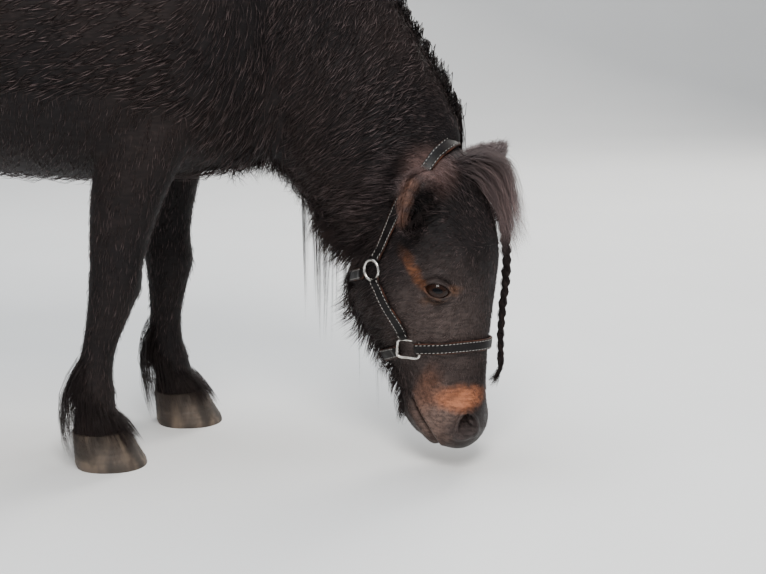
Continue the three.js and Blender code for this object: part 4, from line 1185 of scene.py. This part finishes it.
weights = np.stack([1 - r1, r1 * (1 - r2), r1 * r2], 1)
root = (corners[chosen] * weights[..., None]).sum(1)
normal = unit((skinNormals[tris[chosen]] * weights[..., None]).sum(1))
part = part[chosen]
u, f, s = headLocal(root)
nearEye = np.full(len(root), 99.0)
for eyeFrame in eyeFrames.values():
    gap, _, height = eyeGap(root, *eyeFrame)
    nearEye = np.minimum(nearEye, np.where(height > -25, gap, 99))
keep = (root[:, 2] > growth["lowest"]) & (nearEye > eye["bare"])
for at in nostrilPlaces:
    keep &= np.linalg.norm(root - at, axis=1) > nostril["bare"]
keep &= ~((part == 2) & (nearLine(np.stack([u, f, np.zeros_like(u)], 1), mouthLine) < growth["lipGap"]))
keep &= ~((part == 2) & (u > growth["muzzle"]) & (dice.random(len(root)) < growth["muzzleThin"]))


def insideEar(root, normal, part, side):
    base, axis, opening = ears[side]
    return (part == 7) & (normal @ unit(opening) > 0.1) & (np.linalg.norm(root - (base + axis * 0.5), axis=1) < 75)


def lieOf(root, normal, part):
    u, f, s = headLocal(root)
    x = root[:, 0:1]
    outward = np.sign(s)[:, None] * headLeft
    lie = np.tile((-1.0, 0, -0.28), (len(root), 1))
    lie = mix(lie, np.array([-0.45, 0, -1.0]), 1 - smooth(x, -520, -380))
    lie = mix(lie, np.array([-0.35, 0, -1.0]), smooth(x, 150, 260))
    down = (root @ neckWay)[:, None]
    neckLie = mix(np.array([-0.55, 0.02, -0.75]), np.array([-0.95, 0.02, -0.22]), smooth(down, -250, 40))
    lie[part == 1] = neckLie[part == 1]
    fore = smooth(f, -5, 45)[:, None] * (1 - 0.4 * smooth(np.abs(s), 45, 75))[:, None]
    fore = np.maximum(fore, smooth(u, 235, 300)[:, None])
    cheek = 0.45 * headDown - 0.9 * headFront
    cheek = mix(np.array([-1.0, 0, -0.1]), cheek, smooth(u, 40, 110)[:, None])
    front = mix(-headDown * 0.7 + 0.55 * outward, headDown + 0.12 * outward, smooth(u, 95, 135)[:, None])
    face = mix(cheek, front, fore)
    lie[part == 2] = face[part == 2]
    lie[(part >= 3) & (part <= 6)] = (-0.2, 0, -1)
    for side, (base, axis, opening) in ears.items():
        lie[(part == 7) & (np.linalg.norm(root - (base + axis * 0.5), axis=1) < 75)] = unit(axis)
        lie[insideEar(root, normal, part, side)] = unit(axis) + unit(opening) * 0.3
    lie = lie + dice.normal(0, growth["ruffle"], lie.shape)
    lie -= normal * (lie * normal).sum(1, keepdims=True)
    return unit(lie)


root, normal, part, nearEye = root[keep], normal[keep], part[keep], nearEye[keep]
lie = lieOf(root, normal, part)
u, f, s = headLocal(root)
long, wide, lift = furOf[part, 1:].T
onNeck, onFace = part == 1, part == 2
jaw = onFace * (1 - smooth(f, -92, -38)) * (1 - smooth(u, 290, 340))
nearEar = np.min([np.linalg.norm(root - (base + axis * 0.05), axis=1) for base, axis, _ in ears.values()], axis=0)
fluff = (onNeck | onFace) * (1 - smooth(nearEar, 38, 72)) * (1 - smooth(u, 55, 85)) * (1 - smooth(f, 40, 60))
throat = onNeck * smooth(root @ neckWay, -120, 60)
atPoll = onFace * (1 - smooth(u, 0, 62)) * (1 - smooth(f, 30, 62))
muzzle = onFace * smooth(u, 285, 345)
lid = 1 - smooth(nearEye, 4, 22)
under = (onNeck | (part == 0)) * smooth(-normal[:, 2], 0.1, 0.8)
earMore = [[np.where(insideEar(root, normal, part, side), share, 1) for share in (0.55, 0.45)] for side in ears]
for longer, higher in (
    (1 + 2.3 * jaw, 1 + 3.6 * jaw),
    (1 + np.where(onFace, 2.6, 0.6) * fluff, 1 + np.where(onFace, 6.0, 2.0) * fluff),
    *earMore,
    (1 + 0.35 * throat, 1 + 0.8 * throat),
    (1 + 0.7 * atPoll, 1 + atPoll),
    (1 - 0.55 * muzzle, 1 - 0.5 * muzzle),
    (1 - 0.6 * lid, 1 - 0.4 * lid),
    (1 + 0.8 * under, 1 + 1.2 * under),
):
    long, lift = long * longer, lift * higher
rough = dice.random(len(root))
long = long * (0.7 + 0.6 * dice.random(len(root)))
lift = lift * (0.5 + 0.9 * rough) * (1 + 0.35 * clumps(root, 15))
nearHead = np.where((part <= 2) & (u > -60))[0]
for strapName, (frames, _, _) in strapFramesOf.items():  # straps press the coat down and part it at the poll
    away = np.full(len(root), 99.0)
    for at in frames["at"]:
        away[nearHead] = np.minimum(away[nearHead], np.linalg.norm(root[nearHead] - at, axis=1))
    if strapName == "strap_crown":
        overPoll = (away < onStrap["underPoll"]) & (u < 60) & (np.abs(s) < 58)
        covered = overPoll & (away < onStrap["bare"])
        long = np.where(overPoll, np.minimum(long, np.maximum(4, away - 9)), long)
        lift = np.where(overPoll, np.minimum(lift, 1 + 0.08 * away), lift)
    pressed = (away < onStrap["press"]) & ((fluff < 0.35) | (u < 12))
    lift = np.where(pressed, lift * onStrap["lift"], lift)
    long = np.where(pressed, long * onStrap["length"], long)
bend = lie * long[:, None]
paths = np.stack([
    root - normal * growth["depth"],
    root + bend * 0.5 + normal * lift[:, None],
    root + bend + normal * (lift * (0.75 + 0.5 * (dice.random(len(root)) < 0.06)))[:, None],
], 1)
wide = wide * (0.75 + 0.5 * dice.random(len(root)))
for label, mask in (("trunk", part == 0), ("neck", onNeck), ("head", onFace), ("legs", (part > 2) & (part < 7)),
                    ("ears", part == 7)):
    mask = mask & ~covered
    addStrands("coat_" + label, paths[mask], normal[mask], wide[mask], coatLook, "coat", dice.random(mask.sum()),
               slim=0.5, taper=0.5)


# Long hair grows in locks: guide lines, each with many strands that draw together to its tip
skinTree = surfaceTree(skin)
density = 1.0


def roll(low, high):
    return low + (high - low) * dice.random()


def lockStrands(guides, each, spreadX, spreadY, pull, wave, rough=0.25):
    guides = np.asarray(guides, float)
    n, steps = guides.shape[:2]
    t = np.linspace(0, 1, steps)
    ahead = unit(np.gradient(guides, axis=1))
    side = unit(np.cross(ahead, np.array([0.13, 0.07, 1.0])) + 1e-6)
    other = np.cross(ahead, side)
    offset = dice.normal(0, 0.5, (n, each, 2))
    close = 1 - pull * t**0.8
    phase = dice.random((n, each, 1)) * 6.28
    sway = np.sin(t * (5 + 4 * dice.random((n, each, 1))) + phase) * wave * t
    a = offset[..., 0:1] * spreadX * close + sway * rough
    b = offset[..., 1:2] * spreadY * close + np.cos(t * 6 + phase) * wave * rough * t
    index = t * (steps - 1) * (1 - 0.3 * dice.random((n, each, 1)) ** 2)
    low = np.clip(np.floor(index).astype(int), 0, steps - 2)
    part = (index - low)[..., None]
    rows = np.arange(n)[:, None, None]
    base = guides[rows, low] * (1 - part) + guides[rows, low + 1] * part
    paths = base + side[rows, low] * a[..., None] + other[rows, low] * b[..., None]
    return paths.reshape(-1, steps, 3)


def growHair(name, paths, hair, look=longLook, slotName="hair", **shape):
    face = np.broadcast_to(np.asarray(hair["face"], float), (len(paths), 3))
    width = dice.uniform(*hair["width"], len(paths))
    addStrands(name, paths, face, width, look, slotName, dice.random(len(paths)) ** hair.get("power", 1), **shape)


def growLocks(name, guides, hair, **rest):
    growHair(name, lockStrands(guides, int(hair["strands"] * density), *hair["lock"]), hair, **rest)


def crestAt(share):
    cx, cz, ux, uz, y, _ = (float(v) for v in neckLine(share))
    return np.array([cx, y, cz]), unit(np.array([ux - cx, 0, uz - cz]))


def maneGuide(share, length, clear, steps=8):
    crest, inward = crestAt(share)
    over = crest + inward * roll(-7, 2) + (roll(-6, 6), roll(5, 20), 0)
    path = [crest + inward * 14 + (0, roll(-9, 9), 0), over]
    drift = 15 * math.sin(share * 21) + roll(-9, 9)
    out = over[1]
    for k in range(1, steps - 1):
        z = over[2] - length * k / (steps - 2)
        x = over[0] + drift * (k / (steps - 2)) ** 1.4
        hit = onSkin((x, 420, z), (x, -40, z))
        out = max(hit[1] + clear, out - 14) if hit is not None and hit[1] > out - 60 else out - roll(0, 6)
        path.append(np.array([x, out, z]))
    path = np.array(path)
    for _ in range(2):
        path[2:-1] = mix(path[2:-1], (path[1:-2] + path[3:]) / 2, 0.5)
    return path


# Each kind of hair has strands to a lock, the lock's width, depth, pull and wave, the strands' width and facing
mane = {"strands": 18, "lock": (15, 7, 0.8, 4), "width": (1.0, 1.9), "face": (0.1, 1, 0.3), "power": 2, "locks": 150}
guides = []
for i in range(mane["locks"]):
    share = mix(0.05, 0.955, (i + 0.5) / mane["locks"])
    length = mix(340, 165, smooth(share, 0.24, 0.95)) * roll(0.7, 1.08) * mix(0.5, 1, smooth(share, 0.05, 0.26))
    guides.append(maneGuide(share, length, roll(3, 17)))
for share in np.linspace(0.4, 0.66, 24):
    guides.append(maneGuide(share, roll(530, 650), roll(3, 10), 14)[np.rint(np.linspace(0, 13, 8)).astype(int)])
growLocks("mane", guides, mane)

# Short stiff hair along the crest, on the near side and through the roots of the mane
crestLook = {"hairs": 2800, "width": (0.55, 0.95), "face": (0, 1.0, 0.1)}
crestHair = []
for i in range(int(crestLook["hairs"] * density)):
    crest, inward = crestAt(roll(0.1, 0.91))
    base = crest + inward * roll(2, 26) - (0, roll(-6, 24), 0)
    hit = onSkin(base - inward * 60 - (0, 40, 0), base)
    base = base if hit is None else hit
    size = roll(8, 19) * (1 if dice.random() < 0.96 else 1.8)
    lean = -inward * roll(0.0, 0.42) + (roll(-0.35, 0.45), roll(-0.1, 1.0), roll(-1.0, -0.2))
    tip = base + unit(lean) * size
    mid = base + unit(lean - inward * 0.4) * size * 0.5
    crestHair.append([base + inward * 3, mix(base, mid, 0.6), mid, mix(mid, tip, 0.55), tip + (0, 0, -size * 0.12)])
growHair("crest", np.array(crestHair), crestLook)

# Forelock: out between the ears, forward and over to the left of the face, with a thin fringe on the forehead
forelock = {"strands": 18, "lock": (13, 9, 0.35, 5, 0.5), "width": (0.8, 1.4), "face": headFront - headDown * 0.5,
            "locks": 130, "fringe": 16}


def overFace(u, f, s, gap):  # never inside the forehead
    front = float(headLine(min(max(u, -24), 400))[0]) - 0.004 * s * s
    return headAt(u, max(f, front + gap), s)


guides = []
for i in range(forelock["locks"]):
    spread = mix(-30, 26, (i + 0.5) / forelock["locks"])
    length = roll(46, 112)
    up = roll(-34, 15)
    guides.append(catmull([
        headAt(14, 14, spread * 0.7),
        overFace(-6 - up * 0.5, 52 + up * 0.6, spread + 3, roll(2, 8)),
        overFace(14 - up, 76 + up, spread * 0.9 + 16, roll(3, 10)),
        overFace(18 - min(up, 0) * 0.5 + length * 0.5, 86 + up * 0.8, spread * 0.9 + roll(16, 42), roll(3, 16)),
        overFace(18 - min(up, 0) + length, 80 + up * 0.6 + roll(-6, 30), spread + roll(18, 60), roll(3, 20)),
    ], 8))
for i in range(forelock["fringe"]):
    spread = roll(-30, 26)
    guides.append(catmull([headAt(8, 30, spread), headAt(14, 58, spread), headAt(34, 70, spread + roll(-4, 14)),
                           headAt(roll(54, 84), 74, spread + roll(0, 26))], 8))
growLocks("forelock", guides, forelock, look=foreLook)

# Plait: three bundles wound over one another, with a tuft below and roots drawn from the forelock
plait = {"steps": 45, "strands": 64, "turns": 11, "wide": 4.3, "deep": 2.5, "width": (1.0, 1.5),
         "face": (0.65, 0.75, 0)}
plaitEnds = {"strands": 14, "lock": (4, 4, 0.5, 2), "width": (0.8, 1.2), "face": plait["face"],
             "tuft": 14, "roots": 20}
line = catmull([(599, -113, 372), (607, -110, 330), (612, -108, 283), (611, -108, 245), (607, -108, 205),
                (606, -107, 165), (607, -106, 128)], plait["steps"])
ahead = unit(np.gradient(line, axis=0))
toRight = np.array([0.75, -0.65, 0])
flat = unit(toRight - ahead * (ahead @ toRight)[:, None])
deep = np.cross(ahead, flat)
t = np.linspace(0, 1, plait["steps"])
plaitPaths = []
for bundle in range(3):
    turn = (bundle + 0.5) / 3 * 2 * np.pi + t * np.pi * plait["turns"]
    for _ in range(int(plait["strands"] * mix(density, 1, 0.5))):
        a, b = dice.normal(0, 1.35, 2)
        x = (np.sin(turn) * plait["wide"] + a * 1.2 + 0.4 * np.sin(t * 40 + a * 9)) * mix(1, 0.6, t)
        y = (np.sin(turn * 2) * plait["deep"] + b * 1.2) * mix(1, 0.6, t)
        plaitPaths.append(line + flat * x[:, None] + deep * y[:, None])
growHair("plait", np.array(plaitPaths), plait, taper=0.15)
guides = []
for i in range(plaitEnds["tuft"]):
    end = np.array([roll(586, 600), roll(-112, -100), roll(94, 108)])
    guides.append(catmull([(606, -107, 140), (607, -106, 126), mix(np.array([606, -106, 118]), end, 0.4), end], 8))
for i in range(plaitEnds["roots"]):
    guides.append(catmull([headAt(12, 28, roll(8, 24)), headAt(-2, 62, roll(14, 30)),
                           np.array([596, -114, 374]) + dice.normal(0, 2, 3), (603, -110, 342)], 8))
growLocks("plait_ends", guides, plaitEnds)

# Tail: a dark core, locks from the dock and all down the core, and short hair that lies along the dock
tail = {"strands": 18, "lock": (12, 6, 0.7, 6), "width": (1.1, 2.0), "face": (-1.0, 0.2, 0), "power": 2, "locks": 150,
        "rows": 92, "deep": 14, "inset": 8}
dock = {"hairs": 2600, "width": (1.1, 1.9), "power": 2}
tailLine = catmull([(-530, 0, 792), (-585, 0, 782), (-612, 0, 735), (-622, 0, 650), (-622, 0, 560),
                    (-616, 0, 470)], 101)


def tailWidth(t):
    return mix(24, 40, smooth(t, 0.15, 0.7)) * (1 - 0.6 * smooth(t, 0.85, 1))


def tailRow(t):
    return np.rint(tail["rows"] * t).astype(int)


def roundTail(t, left, up):
    back = smooth(t, 0, 0.5)
    aside = left * (tailWidth(t) - tail["inset"])
    return np.stack([-up * tail["deep"] * back, aside, up * tail["deep"] * (1 - back)], -1)


core = wrapGrid("tail_core", 32, 40, lambda t, left, up: tailLine[tailRow(t)] + roundTail(t, left, up))
core.data.materials.append(longLook)
bpy.ops.object.shade_smooth()
for key in ("tone", "along"):
    values = core.data.attributes.new(key, "FLOAT", "POINT").data
    values.foreach_set("value", np.zeros(len(values), np.float32))
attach(core, "root")
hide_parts("tail")
guides = []
for i in range(tail["locks"]):
    start = (i * 0.618) % 1 * 0.9 + 0.02
    angle = mix(-2.1, 2.1, (i + 0.5) / tail["locks"])
    at, wide = tailLine[int(start * 100)], float(tailWidth(start))
    up = roll(-2, 12)
    length = at[2] - roll(108, 260)
    flare = roll(-4, 12)

    def reach(more):
        return at + (-math.cos(angle) * (16 + more), math.sin(angle) * (wide - tail["inset"] + more), 0)

    guides.append(catmull([
        reach(-12) + (0, 0, 14),
        reach(2 + up) + (0, 0, -24),
        reach(3 + up + flare * 0.5) + (0, 0, -length * 0.38),
        reach(up + flare) + (0, roll(-5, 5), -length * 0.72),
        reach(flare + up - 8) + (roll(-8, 4), roll(-14, 14), -length),
    ], 8))
growLocks("tail", guides, tail)
count = int(dock["hairs"] * density)
t, angle = dice.uniform(0, 0.55, count), dice.uniform(0, 2 * np.pi, count)
out = roundTail(t, np.cos(angle), np.sin(angle))
normal = unit(out)
ahead = unit(np.gradient(tailLine, axis=0))[tailRow(t)]
size = dice.uniform(24, 46, count)[:, None]
start = tailLine[tailRow(t)] + out
growHair("dock", np.stack([
    start - normal,
    start + ahead * size * 0.3 + normal * 4,
    start + ahead * size * 0.65 + normal * 5.5,
    start + ahead * size + normal * dice.uniform(1, 5, (count, 1)),
], 1), dock | {"face": normal})

# Feather on the fetlocks
feather = {"strands": 8, "lock": (8, 5, 0.35, 2), "width": (0.9, 1.5), "face": (-1.0, 0.1, 0), "locks": 110}
guides = []
for legName in legs:
    place = legPoint(legName)
    for i in range(feather["locks"]):
        angle = mix(-3.1, 3.1, (i + 0.5) / feather["locks"])
        back = 0.5 + 0.5 * math.cos(angle)
        high = mix(66, 150, back) * roll(0.8, 1.1)
        tip = mix(24, 9, back) + roll(-6, 14)
        knots = []
        for share, off in ((0, -5), (0.3, 4 + 5 * back), (0.65, 6 + 8 * back), (1, 8 + 2 * back)):
            z = mix(high, tip, share)
            t = min(max((horn["top"] - z) / horn["top"], 0), 1)
            way = ((legTops[legName] - max(z, 50.3)) / (legTops[legName] - legFoot)) ** (1 / legEase)
            at = place(np.array(way), np.array(math.sin(angle)), np.array(-math.cos(angle)), off + 10 * t)
            knots.append((float(at[0]) + horn["shift"] * t, float(at[1]), z))
        guides.append(catmull(knots, 6))
growLocks("feather", guides, feather)

# A beard below the jaw, and long hair under the throat and in its angle with the jaw
beard = {"strands": 6, "lock": (11, 9, 0.35, 4), "width": (0.95, 1.6), "face": (0.2, 1.0, 0),
         "jaw": 260, "throat": 200, "angle": 150}


def throatAt(share):
    _, _, ux, uz, y, _ = (float(v) for v in neckLine(share))
    return np.array([ux, y, uz])


guides = []
for i in range(beard["jaw"]):
    place = mix(70, 345, (i + 0.5) / beard["jaw"]) + roll(-5, 5)
    aside = roll(-34, 34) * mix(1, 0.5, i / beard["jaw"])
    upper = 1 - float(smooth(place, 180, 260))
    size = roll(16, 34) * (1 + 0.6 * upper)
    root = onSkin(headAt(place, float(headLine(place)[1]) - 40, aside), headAt(place, 0, aside * 0.5))
    if root is not None:
        down = headDown / headShare
        guides.append(catmull([
            root + headFront * 8 - down * 4,
            root - headFront,
            root - headFront * 8 + down * size * 0.5,
            root - headFront * (6 + size * mix(0.22, 0.6, upper)) + down * size * mix(1, 0.8, upper)
            + headLeft * roll(-5, 5),
        ], 6))
for i in range(beard["throat"]):
    share = mix(0.12, 0.97, (i + 0.5) / beard["throat"])
    aside, size = roll(-38, 40), roll(14, 34) + 26 * float(smooth(share, 0.6, 0.9))
    root = onSkin(throatAt(share) + (-50, aside, -60), throatAt(share) + (30, aside * 0.6, 50))
    if root is not None:
        guides.append(catmull([root + (4, 0, 8), root, root + (roll(-8, 2), 0, -size * 0.55),
                               root + (roll(-14, 6), roll(-6, 6), -size)], 6))
for i in range(beard["angle"]):
    share, aside = roll(0.78, 1.04), roll(-62, 62)
    root = onSkin(throatAt(share) + (-60, aside, -40), throatAt(share) + (60, aside * 0.4, 20))
    if root is not None:
        size = roll(26, 52)
        guides.append(catmull([root + (10, 0, 6), root, root + (-size * 0.45, 0, -size * 0.25),
                               root + (-size * 0.72, roll(-5, 5), -size * 0.75)], 6))
growLocks("beard", guides, beard)

# Soft hair behind the root of each ear, spread over the crown strap
earTuft = {"strands": 11, "lock": (9, 8, 0.2, 3), "width": (0.7, 1.1), "face": (0, -1.0, 0.2), "right": 110, "left": 50}
guides = []
for side, sign in sides.items():
    base, axis, _ = ears[side]
    rear = unit(np.array([-1.0, 0, 0.25]) + unit(axis) * unit(axis)[0])
    for i in range(earTuft[side]):
        foot = base + axis * roll(-0.12, 0.45) + rear * roll(2, 18) + headLeft * sign * roll(6, 20)
        size = roll(20, 38)
        way = unit(rear * roll(0.5, 1.1) + (0, 0, roll(-0.35, 0.7)) + headLeft * sign * roll(0.1, 0.5))
        guides.append(catmull([foot - way * 6, foot, foot + way * size * 0.5 + headLeft * sign * 4,
                               foot + way * size + (0, 0, -size * 0.25)], 7))
growLocks("ear_hair", guides, earTuft, look=coatLook, slotName="coat")

# Lashes on the upper lids
lash = {"hairs": 60, "ball": 18.8, "width": (0.35, 0.5)}
lashes = []
for middle, out, along, over in eyeFrames.values():
    for i in range(lash["hairs"]):
        angle = mix(0.25, 2.9, (i + 0.5) / lash["hairs"]) + roll(-0.03, 0.03)
        a, b = eyeOutline(angle, 0.8)
        at = middle + along * a + over * b + out * eyeBall(a, b, lash["ball"])
        size = roll(6, 11) * (1.15 if angle < 1.3 else 0.8)
        away = unit(out * 0.9 - over * 0.35 + along * 0.55 * math.cos(angle))
        lashes.append([at - away, at + away * size * 0.5, at + away * size - over * size * 0.25])
width, face = dice.uniform(*lash["width"], len(lashes)), np.tile((0, 0, 1.0), (len(lashes), 1))
addStrands("lashes", np.array(lashes), face, width, longLook, "hair", np.zeros(len(lashes)))

# Floor: a plane that bends up into a wall far behind
bend = {"start": 3.2, "radius": 1.6}
floor = startPiece("floor", bpy.ops.mesh.primitive_plane_add, size=30)
bpy.ops.object.mode_set(mode="EDIT")
bpy.ops.mesh.select_all(action="SELECT")
bpy.ops.mesh.subdivide(number_cuts=120)
bpy.ops.object.mode_set(mode="OBJECT")
co = pointsOf(floor)
far = np.clip(co[:, 1] - bend["start"], 0, None)
turn = np.minimum(far / bend["radius"], np.pi / 2)
co[:, 1] = np.minimum(co[:, 1], bend["start"]) + bend["radius"] * np.sin(turn)
co[:, 2] = bend["radius"] * (1 - np.cos(turn)) + np.clip(far - bend["radius"] * np.pi / 2, 0, None) * 2
setPoints(floor, co)
bpy.ops.object.shade_smooth()
floorLook, floorTree, floorShader = newMaterial("paleFloor")
uneven = noiseOf(floorTree, placeOf(floorTree), 3.0, 4)
setInputs(floorTree, floorShader, {
    "Base Color": blendColours(floorTree, uneven, (0.74, 0.74, 0.73), (0.80, 0.80, 0.79)), "Roughness": 0.8,
})
floor.data.materials.append(floorLook)

print("done")
